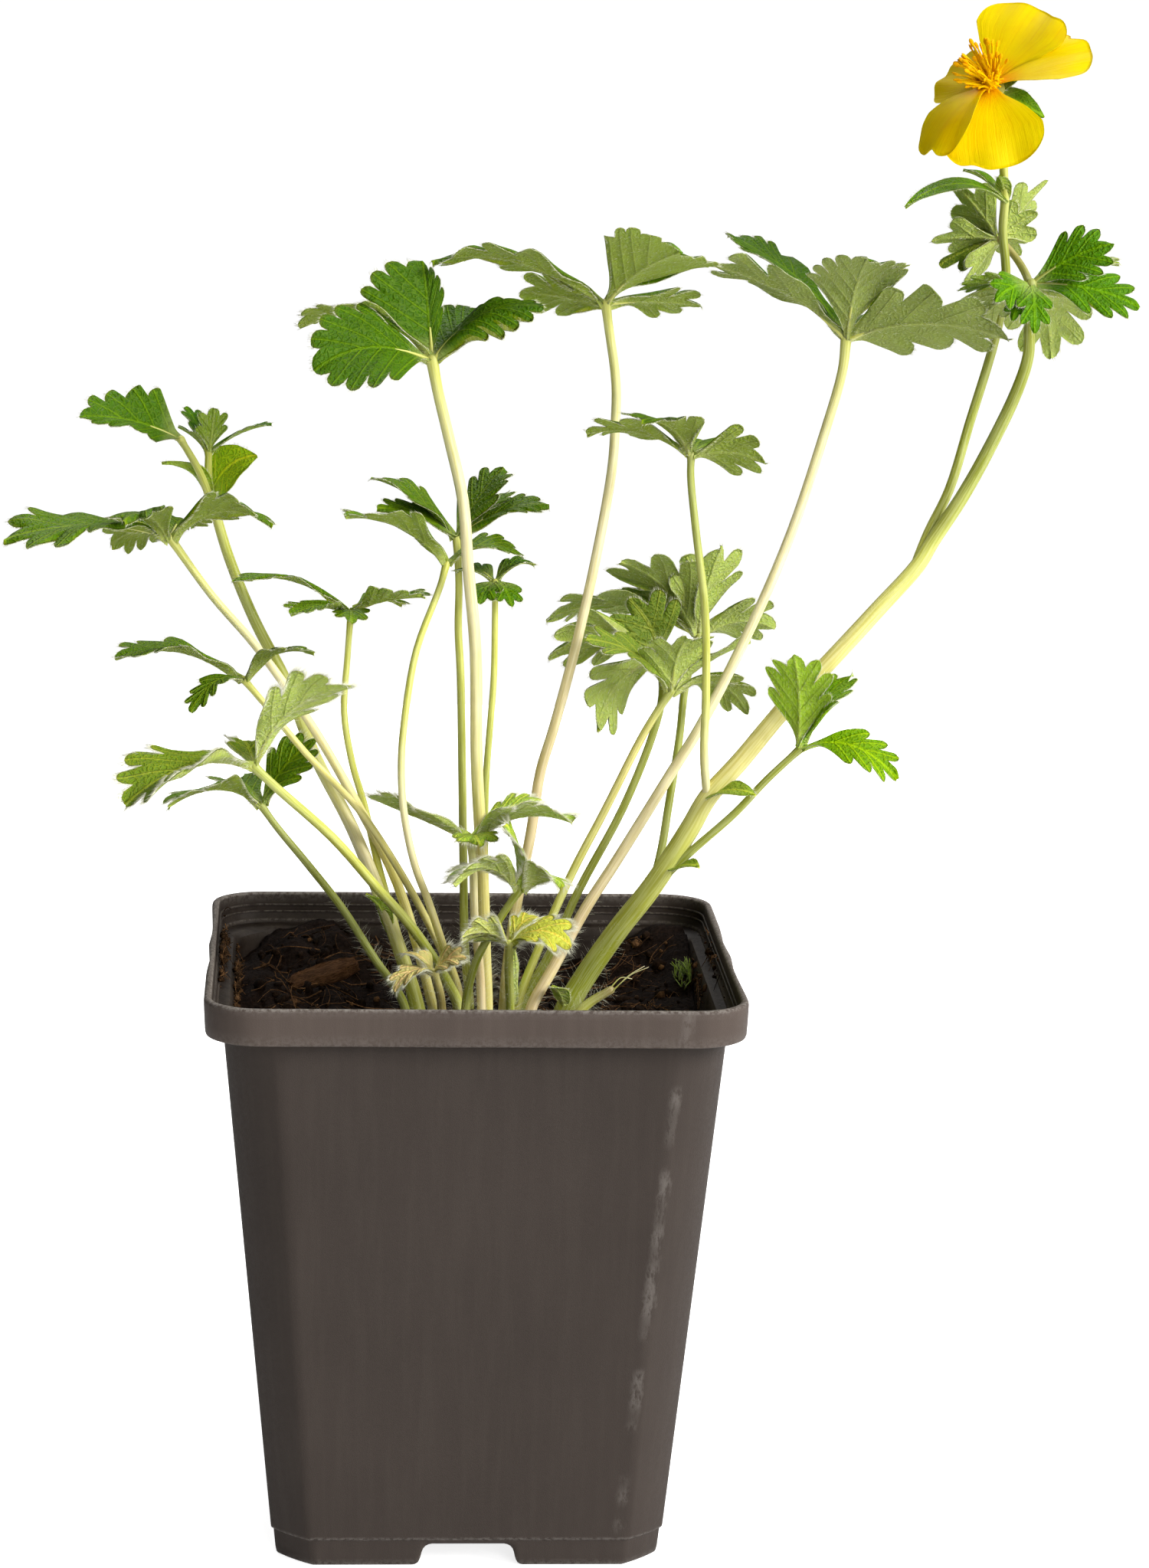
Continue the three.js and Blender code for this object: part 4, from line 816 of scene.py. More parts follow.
class Sheaf:
    """Gathers the points, faces and paint of one piece before its mesh is made."""

    def __init__(self):
        self.points = []
        self.faces = []
        self.paints = []
        self.flat = []
        self.veins = []
        self.tint = []
        self.upper = []
        self.count = 0

    def add(self, points, faces, paint, flat=None, veins=None, tint=None, upper=None):
        """Adds a patch. faces is a list of arrays, each of triangles or of quads."""
        points = np.asarray(points, float).reshape(-1, 3)
        total = len(points)
        self.points.append(points)
        for group in faces:
            group = np.asarray(group, int)
            self.faces.append(group + self.count)
            self.paints.append(np.full(len(group), paint))
        self.flat.append(spread(flat, total, (0, 0, 0)))
        self.veins.append(spread(veins, total, (NO_VEIN, NO_VEIN, 0)))
        self.tint.append(spread(tint, total, (0.5, 0.5, 0.5)))
        self.upper.append(spread(upper, total, (1,)))
        self.count += total

    def add_rings(self, rings, paint, **values):
        """Adds a closed body whose skin runs from ring to ring."""
        rings = np.asarray(rings, float)
        rows, count = rings.shape[:2]
        ends = [np.arange(count)[None, ::-1], ((rows - 1) * count + np.arange(count))[None, :]]
        self.add(rings, [tube_faces(rows, count), *ends], paint, **values)

    def add_sheet(self, top, low, flat, veins, tints=None):
        """Adds a thin blade: its upper face, its underside and the rim between them."""
        shape = top.shape[:2]
        total = shape[0] * shape[1]
        ring = rim_of(*shape)
        following = np.roll(ring, -1)
        rim = np.stack([ring, ring + total, following + total, following], axis=1)
        self.add(
            np.concatenate([top.reshape(-1, 3), low.reshape(-1, 3)]),
            [grid_faces(*shape, flip=True), grid_faces(*shape, start=total), rim],
            LEAF_PAINT,
            flat=np.tile(np.stack(flat, axis=-1).reshape(-1, 3), (2, 1)),
            veins=np.tile(np.stack(veins, axis=-1).reshape(-1, 3), (2, 1)),
            tint=None if tints is None else np.repeat(tints, total, axis=0),
            upper=np.repeat([1.0, 0.0], total),
        )

    def piece(self, name, materials, nodes=()):
        """Makes the mesh and its object, and hides the parts it stands for."""
        points = np.concatenate(self.points)
        mesh = bpy.data.meshes.new(name)
        mesh.vertices.add(len(points))
        mesh.vertices.foreach_set("co", to_frame(points).ravel())
        corners = np.concatenate([group.ravel() for group in self.faces])
        sizes = np.concatenate([np.full(len(group), group.shape[1]) for group in self.faces])
        mesh.loops.add(len(corners))
        mesh.loops.foreach_set("vertex_index", corners)
        mesh.polygons.add(len(sizes))
        mesh.polygons.foreach_set("loop_start", np.cumsum(sizes) - sizes)
        mesh.polygons.foreach_set("material_index", np.concatenate(self.paints))
        mesh.update(calc_edges=True)
        for key, values in (("flat", self.flat), ("veins", self.veins), ("tint", self.tint)):
            layer = mesh.attributes.new(key, "FLOAT_VECTOR", "POINT")
            layer.data.foreach_set("vector", np.concatenate(values).ravel())
        layer = mesh.attributes.new("upper", "FLOAT", "POINT")
        layer.data.foreach_set("value", np.concatenate(self.upper).ravel())
        for material in materials:
            mesh.materials.append(material)
        mesh.shade_smooth()
        mesh.validate()
        return place_piece(bpy.data.objects.new(name, mesh), nodes)


class Blade:
    """Turns flat positions on a leaf or petal into space along a bowed, twisted midrib."""

    def __init__(self, foot, spec, upward=UP):
        tip, self.width, self.bow, self.turn, self.twist, self.fold = spec[:6]
        self.foot = np.asarray(foot, float)
        self.length = float(np.linalg.norm(tip))
        self.along = unit(tip)
        self.face = unit(upward - np.dot(upward, self.along) * self.along)
        self.cross = np.cross(self.along, self.face)

    def at(self, share, across, lift=0.0):
        """Points at shares of the length, millimetres across and millimetres above."""
        share, across, lift = np.broadcast_arrays(share, across, lift)
        angle = np.radians(self.turn + self.twist * share)[..., None]
        side = self.cross * np.cos(angle) - self.face * np.sin(angle)
        slope = (4 * self.bow * (1 - 2 * share) / self.length)[..., None]
        normal = self.face * np.cos(angle) + self.cross * np.sin(angle)
        local = unit(normal - self.along * slope)
        fold = math.radians(self.fold)
        rise = np.sqrt(across ** 2 + 0.3) - math.sqrt(0.3)
        return (
            self.foot
            + self.along * (self.length * share)[..., None]
            + self.face * (4 * self.bow * share * (1 - share))[..., None]
            + side * (across * math.cos(fold))[..., None]
            + local * (rise * math.sin(fold) + lift)[..., None]
        )


def outline_at(t, broadest):
    """Distance along the midrib and half width, as shares, from the foot to the tip."""
    turn = (t - 0.5) * math.pi
    low = t < 0.5
    along = np.where(low, broadest * t / 0.5, broadest + (1 - broadest) * np.sin(turn))
    rising = np.sin(math.pi / 2 * np.clip(t / 0.5, 0, 1)) ** 1.5
    return along, np.where(low, rising, np.cos(turn))


def lobes_for(length, most):
    """How many lobes a leaflet has on each side."""
    if length > 11.5:
        return most
    return max(min(most, 2), most - 1) if length > 6.5 else 1


def lobe_arc(root, tip, before, after, cut):
    """The rounded end of a lobe that stands between two notches."""
    axis = unit(tip - root)
    side = np.array([axis[1], -axis[0]])
    room = [abs((before - tip) @ side), abs((after - tip) @ side)]
    long = min(abs((before - tip) @ axis), abs((after - tip) @ axis))
    reach = min(0.75 * long, 0.65 * cut.width * (room[0] + room[1]))
    points = []
    for turn in LOBE_TURNS:
        angle = math.radians(turn)
        wide = cut.width * (room[0] if turn < 0 else room[1])
        forward = reach * (max(math.cos(angle), 0) ** cut.point - 1)
        sideways = wide * math.copysign(abs(math.sin(angle)) ** cut.point, angle)
        points.append(tip + axis * forward + side * sideways)
    return points


def leaf_margin(cut, length, half_width, draws):
    """One half's margin from foot to tip, each point's place on the midrib, and veins."""
    lobes = lobes_for(length, cut.lobes)
    last = 1 - (1 - cut.first) / (0.6 * lobes + 0.65)
    at = np.append(np.linspace(cut.first, last, lobes)[:lobes], 1.0)
    share, half = outline_at(at, cut.broadest)
    swing = 1 + draws.uniform(-0.05, 0.05, lobes + 1)
    tips = np.column_stack([share * length, half * half_width * swing])
    root = max(0.1 * length, tips[0, 0] - VEIN_SLOPE * tips[0, 1])
    gap = (0.74 * length - root) / lobes
    roots = np.column_stack([root + gap * np.arange(lobes + 1), np.zeros(lobes + 1)])
    notches = []
    for k in range(lobes):
        final = k == lobes - 1
        near = 0.62 if final else 0.5
        middle = near * tips[k] + (1 - near) * tips[k + 1]
        deep = cut.depth * (0.85 if final else 1) * draws.uniform(0.88, 1.12)
        notches.append(middle + deep * ((roots[k] + roots[k + 1]) / 2 - middle))
    back = min(0.35 * gap, 0.6 * root)
    axis = unit(tips[0] - roots[0])
    side = np.array([axis[1], -axis[0]])
    mirrored = notches[0] - 2 * side * ((notches[0] - tips[0]) @ side)
    befores = [mirrored, *notches]
    afters = [*notches, notches[-1] * (1, -1)]
    points, ribs = [], []
    for k in range(lobes + 1):
        arc = lobe_arc(roots[k], tips[k], befores[k], afters[k], cut)
        if k == 0:
            for s in np.linspace(0, 1, 10)[:-1]:
                rise = FOOT_REACH + (arc[0][1] - FOOT_REACH) * s ** WEDGE_BEND
                points.append((arc[0][0] * s, rise))
                ribs.append(s * (root - back))
        if k == lobes:
            points += arc[:4]
            ribs += list(np.linspace(ribs[-1], 0.99 * length, 5)[1:])
        else:
            points += [*arc, notches[k]]
            ribs += list(roots[k, 0] + np.linspace(-back, 0.35 * gap, len(arc)))
            ribs.append(roots[k, 0] + 0.5 * gap)
    return np.array(points), np.array(ribs), list(zip(roots, tips))[:-1]


def vein_gap(x, y, side_veins):
    """Distance on the flat blade to the nearest side vein."""
    gap = np.full(x.shape, NO_VEIN)
    for start, stop in side_veins:
        way = stop - start
        ahead = x - start[0]
        s = np.clip((ahead * way[0] + y * way[1]) / (way @ way), 0, 1)
        gap = np.minimum(gap, np.hypot(ahead - s * way[0], y - s * way[1]))
    return gap


def blade_lift(x, y, gap, q, size, phases):
    """How far a leaflet swells between its veins, waves and curls at its margin."""
    swell = (1 - np.exp(-((gap / 0.8) ** 2))) * (1 - np.exp(-((np.abs(y) / 0.9) ** 2)))
    lift = VEIN_SWELL * size * swell * (1 - 0.5 * q ** 4)
    lift = lift + 0.6 * size * q ** 2.5 * np.sin(x * 0.6 + phases[0] + np.sign(y))
    lift = lift + (0.5 * math.cos(phases[2]) - 0.2) * size * q ** 5
    return lift + 0.25 * size * np.sin(x * 0.23 + phases[1])


def leaflet(sheaf, foot, spec, tints, draws, cut=LOBED, silk=1.0):
    """A lobed leaflet with its veins sunk above and raised below, and hairy margins."""
    blade = Blade(foot, spec)
    usual = (cut.broadest, (1, 1), (0, 0))
    broadest, halves, rolls = [*spec[6:], *usual[len(spec) - 6:]]
    cut = cut._replace(broadest=broadest)
    length, half_width = blade.length, blade.width / 2
    margin, ribs, side_veins = leaf_margin(cut, length, half_width, draws)
    rib, end = ribs / length, margin[:, 0] / length
    reach = np.maximum(np.where(end < 0.5, FOOT_REACH, EDGE_REACH), margin[:, 1])
    steps = np.array(BLADE_COLUMNS)
    steps = np.concatenate([-steps[:0:-1], steps])
    q = np.abs(steps)[None, :]
    share = rib[:, None] + (end - rib)[:, None] * q
    across = reach[:, None] * steps[None, :] * np.where(steps < 0, *halves)[None, :]
    x, y = share * length, reach[:, None] * steps[None, :]
    gap = vein_gap(x, np.abs(y), side_veins)
    rib_gap = np.abs(y)

    size = min(1.0, blade.width / 12)
    phases = draws.uniform(0, 6.3, 3)
    roll = np.where(steps < 0, *rolls)[None, :] * (reach / half_width)[:, None]
    lift = blade_lift(x, y, gap, q, size, phases) + roll * q ** 2.4
    across = across * (1 - 0.5 * np.clip(np.abs(roll) / half_width, 0, 1) * q ** 2)
    thick = BLADE_THICKNESS * (1 - 0.45 * q ** 3) + 0.5 * np.exp(-share * 9)
    rib_below = 0.42 * size * np.exp(-((rib_gap / 0.4) ** 2)) * (1 - share)
    vein_below = 0.07 * size * np.exp(-((gap / 0.25) ** 2))
    groove = 0.1 * np.exp(-((rib_gap / 0.3) ** 2))
    top = blade.at(share, across, lift + thick / 2 - groove)
    low = blade.at(share, across, lift - thick / 2 - rib_below - vein_below)
    tone = 1 + draws.uniform(-0.12, 0.12)
    sheaf.add_sheet(
        top, low, (x, y, np.full(x.shape, phases[2] * 7)),
        (gap, rib_gap, np.broadcast_to(q, gap.shape)), np.array(tints) * tone,
    )
    fringe(sheaf, top, low, blade, draws, size, silk)


def fringe(sheaf, top, low, blade, draws, size, silk=1.0):
    """White hairs along a blade's margins and lying on its underside."""
    roots, ways = [], []
    for edge, inner in ((0, 2), (-1, -3)):
        line = (top[:, edge] + low[:, edge]) / 2
        out = unit(top[:, edge] - top[:, inner])
        places = travel(line)
        number = int(places[-1] * FRINGE_PER_MM * silk)
        for pick in draws.uniform(places[-1] * 0.03, places[-1], number):
            k = min(np.searchsorted(places, pick), len(line) - 1)
            s = (pick - places[k - 1]) / max(places[k] - places[k - 1], 1e-6)
            roots.append(line[k - 1] + (line[k] - line[k - 1]) * s)
            ways.append(out[k] + 0.7 * blade.along + draws.normal(0, 0.22, 3))
    lengths = draws.uniform(0.35, 1.0, len(roots)) * (0.6 + 0.4 * size) * silk
    hairs(sheaf, roots, ways, lengths, FRINGE_RADIUS, draws)
    number = int(blade.length * blade.width * UNDERSIDE_PER_MM2 * silk)
    rows = draws.integers(1, low.shape[0] - 1, number)
    columns = draws.integers(1, low.shape[1] - 1, number)
    roots = low[rows, columns]
    down = -unit(top[rows, columns] - roots)
    ways = 0.3 * down + 0.9 * blade.along + draws.normal(0, 0.22, (number, 3))
    hairs(sheaf, roots, ways, draws.uniform(0.4, 0.9, number) * silk, UNDERSIDE_RADIUS, draws)


def travel(line):
    """Distance travelled at each point of a line."""
    return np.concatenate([[0], np.cumsum(np.linalg.norm(np.diff(line, axis=0), axis=1))])


def hairs(sheaf, roots, ways, lengths, radius, draws):
    """Fine closed spikes from their roots along their ways."""
    roots = np.asarray(roots, float).reshape(-1, 3)
    if not len(roots):
        return
    ways = unit(ways)
    side = unit(np.cross(ways, unit(draws.normal(0, 1, (len(roots), 3)))))
    other = np.cross(ways, side)
    base = roots - ways * HAIR_ROOT
    corners = [base + radius * (math.cos(a) * side + math.sin(a) * other) for a in circle(3)]
    tips = roots + ways * np.asarray(lengths)[:, None]
    inside = np.all((tips > HAIRS_WITHIN[0]) & (tips < HAIRS_WITHIN[1]), axis=1)
    points = np.stack([*corners, tips], axis=1)[inside]
    start = np.arange(len(points))[:, None] * 4
    sides = ((0, 1, 3), (1, 2, 3), (2, 0, 3), (0, 2, 1))
    sheaf.add(points, [np.concatenate([start + np.array(face) for face in sides])], HAIR_PAINT)


def bract(sheaf, foot, spec, tints, draws, upward=UP):
    """A plain pointed blade: bracts, stipules and sepals."""
    blade = Blade(foot, spec, upward)
    u = np.linspace(0, 0.985, 16)
    profile = np.interp(u, [0, 0.12, 0.25, 0.5, 0.78, 0.93, 1], [0.4, 0.66, 0.86, 1, 0.62, 0.22, 0])
    reach = np.maximum(EDGE_REACH, profile * blade.width / 2)
    steps = np.array(BRACT_COLUMNS)
    q = np.abs(steps)[None, :]
    share = np.broadcast_to(u[:, None], (len(u), len(steps)))
    across = reach[:, None] * steps[None, :]
    wave = draws.uniform(0, 6.3)
    lift = 0.2 * np.sin(share * 9 + wave) * q ** 2 + 0.12 * (1 - np.exp(-((across / 0.4) ** 2)))
    thick = BLADE_THICKNESS * (1 - 0.4 * q ** 3) + 0.3 * np.exp(-share * 8)
    top = blade.at(share, across, lift + thick / 2)
    low = blade.at(share, across, lift - thick / 2 - 0.15 * np.exp(-((across / 0.3) ** 2)))
    gap = np.abs(((share * 7 - q * 1.6) % 1) - 0.5) * blade.length / 7
    sheaf.add_sheet(
        top, low, (share * blade.length, across, np.full(share.shape, wave)),
        (gap, np.abs(across), np.broadcast_to(q, gap.shape)), tints,
    )
    fringe(sheaf, top, low, blade, draws, 0.6)


def curve_through(rows, t):
    """Points of a centripetal curve through rows, at shares of its number of spans."""
    rows = np.asarray(rows, float)
    last = len(rows) - 1
    ahead = np.concatenate([[2 * rows[0] - rows[1]], rows, [2 * rows[-1] - rows[-2]]])
    made = []
    for value in np.atleast_1d(t) * last:
        k = min(int(value), last - 1)
        w = value - k
        p0, p1, p2, p3 = ahead[k:k + 4]
        spans = ((p0, p1), (p1, p2), (p2, p3))
        d0, d1, d2 = (max(np.linalg.norm(b - a), 1e-4) ** 0.5 for a, b in spans)
        m1 = ((p1 - p0) / d0 - (p2 - p0) / (d0 + d1) + (p2 - p1) / d1) * d1
        m2 = ((p2 - p1) / d1 - (p3 - p1) / (d1 + d2) + (p3 - p2) / d2) * d1
        made.append(
            (2 * w ** 3 - 3 * w ** 2 + 1) * p1 + (w ** 3 - 2 * w ** 2 + w) * m1
            + (3 * w ** 2 - 2 * w ** 3) * p2 + (w ** 3 - w ** 2) * m2
        )
    return np.array(made)


def square_to(along):
    """Two directions square to each step of a curve, carried on without twisting."""
    across = np.array([1.0, 0.0, 0.0])
    side = []
    for way in along:
        across = unit(across - np.dot(across, way) * way)
        side.append(across)
    return np.array(side), np.cross(along, side)


def stalk(
    sheaf, rows, radii, tones, draws, hairy=0.0, paint=STALK_PAINT, sides=12, swell=0.0, fine=5,
):
    """A tapering stalk with a shallow channel, rounded at its end, and hairs on it."""
    steps = fine * (len(rows) - 1)
    t = np.linspace(0, 1, steps + 1)
    middle = curve_through(rows, t)
    along = unit(np.gradient(middle, axis=0))
    side, other = square_to(along)
    travelled = travel(middle)
    radius = radii[0] + (radii[1] - radii[0]) * t
    radius = radius + swell * np.clip((t - 0.9) / 0.1, 0, 1) ** 2
    angles = circle(sides)
    beside = (angles - 4.2 + math.pi) % (2 * math.pi) - math.pi
    channel = 1 - 0.13 * np.exp(-((beside / 0.5) ** 2))
    turn = np.append(np.zeros(steps + 1), STALK_END_TURNS)
    at = np.minimum(np.arange(len(turn)), steps)
    centre = middle[at] + along[at] * (np.sin(turn) * radius[at])[:, None]
    reach = (radius[at] * np.cos(turn))[:, None] * channel
    rings = (
        centre[:, None]
        + (reach * np.cos(angles))[..., None] * side[at][:, None]
        + (reach * np.sin(angles))[..., None] * other[at][:, None]
    )
    tones = np.array(tones)
    place = t[at] * (len(tones) - 1)
    low = np.minimum(place.astype(int), len(tones) - 2)
    tint = tones[low] + (tones[low + 1] - tones[low]) * (place - low)[:, None]
    shape = (len(at), sides)
    flat = np.stack([
        np.broadcast_to(angles * np.mean(radii), shape),
        np.broadcast_to(travelled[at][:, None], shape),
        np.full(shape, draws.uniform(0, 40)),
    ], axis=-1)
    sheaf.add_rings(rings, paint, flat=flat.reshape(-1, 3), tint=np.repeat(tint, sides, axis=0))
    if hairy is not None:
        stalk_hairs(sheaf, (middle, along, side, other), radius, travelled, draws, hairy)


def bare_stalk(sheaf, rows, radii, tones, draws, sides, fine, paint=LEAF_PAINT):
    """A thin thread or fibre without hairs."""
    stalk(sheaf, rows, radii, tones, draws, None, paint, sides, fine=fine)


def stalk_hairs(sheaf, curve, radius, travelled, draws, hairy):
    """Long soft hairs on the lower part of a stalk and short ones further up."""
    middle, along, side, other = curve
    number = int(travelled[-1] * STALK_HAIRS_PER_MM)
    at = draws.uniform(0, travelled[-1], number)
    k = np.clip(np.searchsorted(travelled, at), 1, len(middle) - 1)
    s = (at - travelled[k - 1]) / np.maximum(travelled[k] - travelled[k - 1], 1e-6)
    spot = middle[k - 1] + (middle[k] - middle[k - 1]) * s[:, None]
    low = np.clip((LONG_HAIRS_TO - spot[:, 2]) / 20, 0, 1)
    keep = draws.uniform(0, 1, number) < 0.02 + 0.3 * hairy + 0.45 * low
    angle = draws.uniform(0, 2 * math.pi, number)
    out = spokes(angle, side[k], other[k])
    lean = along[k] * draws.uniform(0.2, 1.1, number)[:, None]
    ways = out + lean + draws.normal(0, 0.1, (number, 3))
    lengths = 0.4 + draws.uniform(0.9, 2.6, number) * np.maximum(low, 0.35 * hairy)
    roots = spot + out * (radius[k] * 0.93)[:, None]
    keep = keep & (spot[:, 2] > SOIL_LEVEL - 2)
    hairs(sheaf, roots[keep], ways[keep], lengths[keep], STALK_HAIR_RADIUS, draws)


def spray(
    sheaf, rows, radii, leaflets, tints, tones, draws, hairy=0.0, cuts=None, silk=1.0, sides=12,
):
    """Leaflets spreading from the end of a stalk, each on its own thick foot."""
    crown = np.array(rows[-1], float)
    stalk(sheaf, rows, radii, tones, draws, hairy, sides=sides, swell=0.15)
    for number, spec in enumerate(leaflets):
        foot = crown + unit(spec[0]) * 0.3
        leaflet(sheaf, foot, spec, tints, draws, cuts[number] if cuts else LOBED, silk)
        path = Blade(foot, spec).at(np.array([0.04, 0.1, 0.19, 0.3]), 0.0, -0.12)
        start = crown - UP * radii[1] * 0.6
        stalk(sheaf, [start, *path], [radii[1] * 0.62, 0.16], [tones[-1]] * 2, draws, 0.5)


def plant_skins(skins, leaf="leaf"):
    """The materials of a plant piece, in the order of their slots."""
    return [skins[leaf], skins["stalk"], skins["hair"]]


def grow_leaves(skins):
    """Every basal leaf: one piece each."""
    for number, (name, spec) in enumerate(LEAVES.items()):
        draws = np.random.default_rng(100 + number)
        sheaf = Sheaf()
        ageing = name in ("leaf_yellow", "leaf_dry")
        spray(
            sheaf, spec["stalk"], spec["radius"], spec["leaflets"], spec["blade"],
            spec["tones"], draws, 0.9 if ageing else 0.25, spec.get("cuts"), SILKY.get(name, 1.0),
        )
        for foot, *curl in spec.get("curls", ()):
            bract(sheaf, spec["stalk"][-1] + np.array(foot), curl, YOUNG, draws)
        if "sheath" in spec:
            foot, *shape = spec["sheath"]
            bract(sheaf, foot, shape, PALE, draws)
        kind = name if ageing else "leaf"
        sheaf.piece(f"fine_{name}", plant_skins(skins, kind), [name])


def grow_shoot(skins):
    """The leafy shoot at the left."""
    draws = np.random.default_rng(201)
    sheaf = Sheaf()
    stalk(sheaf, SHOOT_STEM, SHOOT_RADIUS, SHOOT_TONES, draws, 0.4)
    spray(
        sheaf, SHOOT_LEAF_STALK, THIN_STALK_RADIUS, SHOOT_LEAF, DARK, [LIME, LIME], draws,
        cuts=[TOOTHED, LOBED],
    )
    spray(sheaf, SHOOT_TUFT_STALK, THIN_STALK_RADIUS, SHOOT_TUFT, YOUNG, [LIME, LIME], draws)
    # The shoot's bracts take BUD, lifted as painted light because they lie in shade.
    for foot, *spec in SHOOT_BRACTS:
        bract(sheaf, foot, spec, BUD, draws)
    sheaf.piece("fine_left_shoot", plant_skins(skins), ["left_shoot"])


def grow_flower_stem(skins):
    """The tall flowering stem with its branches, leaves, bracts and calyx."""
    draws = np.random.default_rng(202)
    facing = unit(FLOWER_FACES)
    behind = FLOWER_CENTRE - facing * CUP_BEHIND
    sheaf = Sheaf()
    spray(
        sheaf, [*FLOWER_STEM, *LEAFY_BRANCH], FLOWER_STEM_RADIUS, BRANCH_END_LEAVES, YOUNG,
        FLOWER_STEM_TONES, draws, 0.03, [POINTED, POINTED], sides=16,
    )
    stalk(
        sheaf, [*FLOWER_STALK, behind.tolist()], FLOWER_STALK_RADIUS, FLOWER_STALK_TONES, draws,
    )
    node = np.array(LEAFY_BRANCH[-1])
    for tints, cut, leaflets in BRANCH_NODE_LEAVES:
        for spec in leaflets:
            leaflet(sheaf, node + unit(spec[0]) * 0.3, spec, tints, draws, cut)
    for rows, leaflets, tints, tones, cut in STEM_LEAVES:
        cuts = [cut] * len(leaflets)
        spray(sheaf, rows, THIN_STALK_RADIUS, leaflets, tints, tones, draws, cuts=cuts)
    # Bracts low on the stem take PALE, lighter as painted light where they lie in shade.
    for foot, *spec in STEM_BRACTS:
        bract(sheaf, foot, spec, FRESH if foot[2] > 200 else PALE, draws)
    for spec in SEPALS:
        bract(sheaf, behind, spec, FRESH, draws, facing)
    cup(sheaf, behind, facing)
    sheaf.piece("fine_flowering_stem", plant_skins(skins), ["flowering_stem"])


def cup(sheaf, centre, facing):
    """The green bowl that holds the petals."""
    side = unit(np.cross(facing, UP))
    out = spokes(circle(20), side, np.cross(facing, side)) * CUP_RADIUS
    rings = [
        centre + facing * CUP_DEPTH * (math.sin(turn) + 0.45) + out * math.cos(turn)
        for turn in (-1.35, -1.0, -0.6, -0.2, 0.15)
    ]
    sheaf.add_rings(rings, STALK_PAINT, tint=LIME)


def petal(sheaf, foot, spec, facing, draws, ruffle, dent):
    """A broad rounded petal, dented at its end and finely pleated along its length."""
    blade = Blade(foot, spec, facing)
    u = np.linspace(0, 1, 30)[:, None]
    v = np.sin(np.linspace(-math.pi / 2, math.pi / 2, 43))[None, :]
    at, deep = dent
    reach = 0.56 + 0.44 * np.clip(1 - np.abs(v) ** 2.5, 0, 1) ** 0.42
    reach = reach - deep * np.exp(-(((v - at) / 0.2) ** 2))
    share = u * reach
    half = np.interp(share, [0, 0.08, 0.2, 0.4, 0.6, 0.75], [0.1, 0.13, 0.27, 0.66, 0.95, 1])
    across = v * half * blade.width / 2
    wave = draws.uniform(0, 6.3)
    lift = ruffle * share ** 2 * np.sin(v * 3.1 + wave)
    lift = lift + 0.3 * share ** 3 * np.sin(v * 8 + 2 * wave)
    lift = lift + 0.03 * np.sin(v * 55) * share * (1 - 0.6 * share)
    thick = PETAL_THICKNESS * (1 - 0.5 * np.abs(v) ** 4) * (1 - 0.3 * u) + 0.2 * np.exp(-8 * u)
    top = blade.at(share, across, lift + thick / 2)
    low = blade.at(share, across, lift - thick / 2)
    sheaf.add_sheet(
        top, low, (share * blade.length, across, share),
        (np.broadcast_to(v, share.shape), share, share),
    )


def grow_flower(skins):
    """Petals, and stamens and styles on their disc."""
    draws = np.random.default_rng(203)
    facing = unit(FLOWER_FACES)
    corolla = Sheaf()
    for spec, ruffle, dent in zip(PETALS, PETAL_RUFFLES, PETAL_DENTS):
        petal(corolla, FLOWER_CENTRE, spec, facing, draws, ruffle, dent)
    corolla.piece("fine_petals", [skins["petal"]], ["petals"])
    heart = Sheaf()
    side = unit(np.cross(facing, UP))
    other = np.cross(facing, side)
    seat = FLOWER_CENTRE + facing * (DISC_RISE - 1.2)
    for i in range(STAMEN_COUNT):
        inner = i % 3 == 0
        angle = i * SPIRAL_TURN
        lean = (0.3 if inner else 0.75) + draws.uniform(-0.15, 0.15)
        out = math.cos(angle) * side + math.sin(angle) * other
        foot = seat + out * (0.7 if inner else 1.4)
        way = unit(facing * math.cos(lean) + out * math.sin(lean) + STAMEN_DRIFT)
        reach = STAMEN_LENGTH * (0.8 + 0.2 * np.dot(way, UP)) * draws.uniform(0.8, 1.0)
        elbow = foot + reach * 0.5 * unit(way + 0.35 * facing)
        end = foot + reach * way + draws.normal(0, 0.2, 3)
        bare_stalk(heart, [foot, elbow, end], FILAMENT_RADIUS, [FILAMENT] * 2, draws, 7, 3)
        anther(heart, end, unit(end - elbow), unit(draws.normal(0, 1, 3)))
    for i in range(STYLE_COUNT):
        rise = 1 - (i + 0.5) / STYLE_COUNT
        angle = i * SPIRAL_TURN
        out = math.cos(angle) * side + math.sin(angle) * other
        way = unit(facing * rise + out * math.sqrt(1 - rise ** 2))
        root = seat + way * 1.5
        rows = [root, root + way * 0.5, root + way * 1.0]
        bare_stalk(heart, rows, STYLE_RADIUS, [STYLE] * 2, draws, 6, 2)
    dome(heart, seat, facing, side, other)
    heart.piece("fine_stamens", [skins["stamen"]], ["stamens"])


def anther(sheaf, centre, along, hint):
    """A flattened two-lobed pollen sac."""
    side = unit(np.cross(along, hint))
    other = np.cross(along, side)
    angles = circle(12)
    lobed = 1 + 0.22 * np.cos(2 * angles)
    out = (np.cos(angles) * lobed)[:, None] * side + (np.sin(angles) * 0.6)[:, None] * other
    rings = [
        centre + along * ANTHER_LENGTH / 2 * math.sin(turn) + out * ANTHER_RADIUS * math.cos(turn)
        for turn in np.linspace(-1.45, 1.45, 9)
    ]
    sheaf.add_rings(rings, LEAF_PAINT, tint=ANTHER)


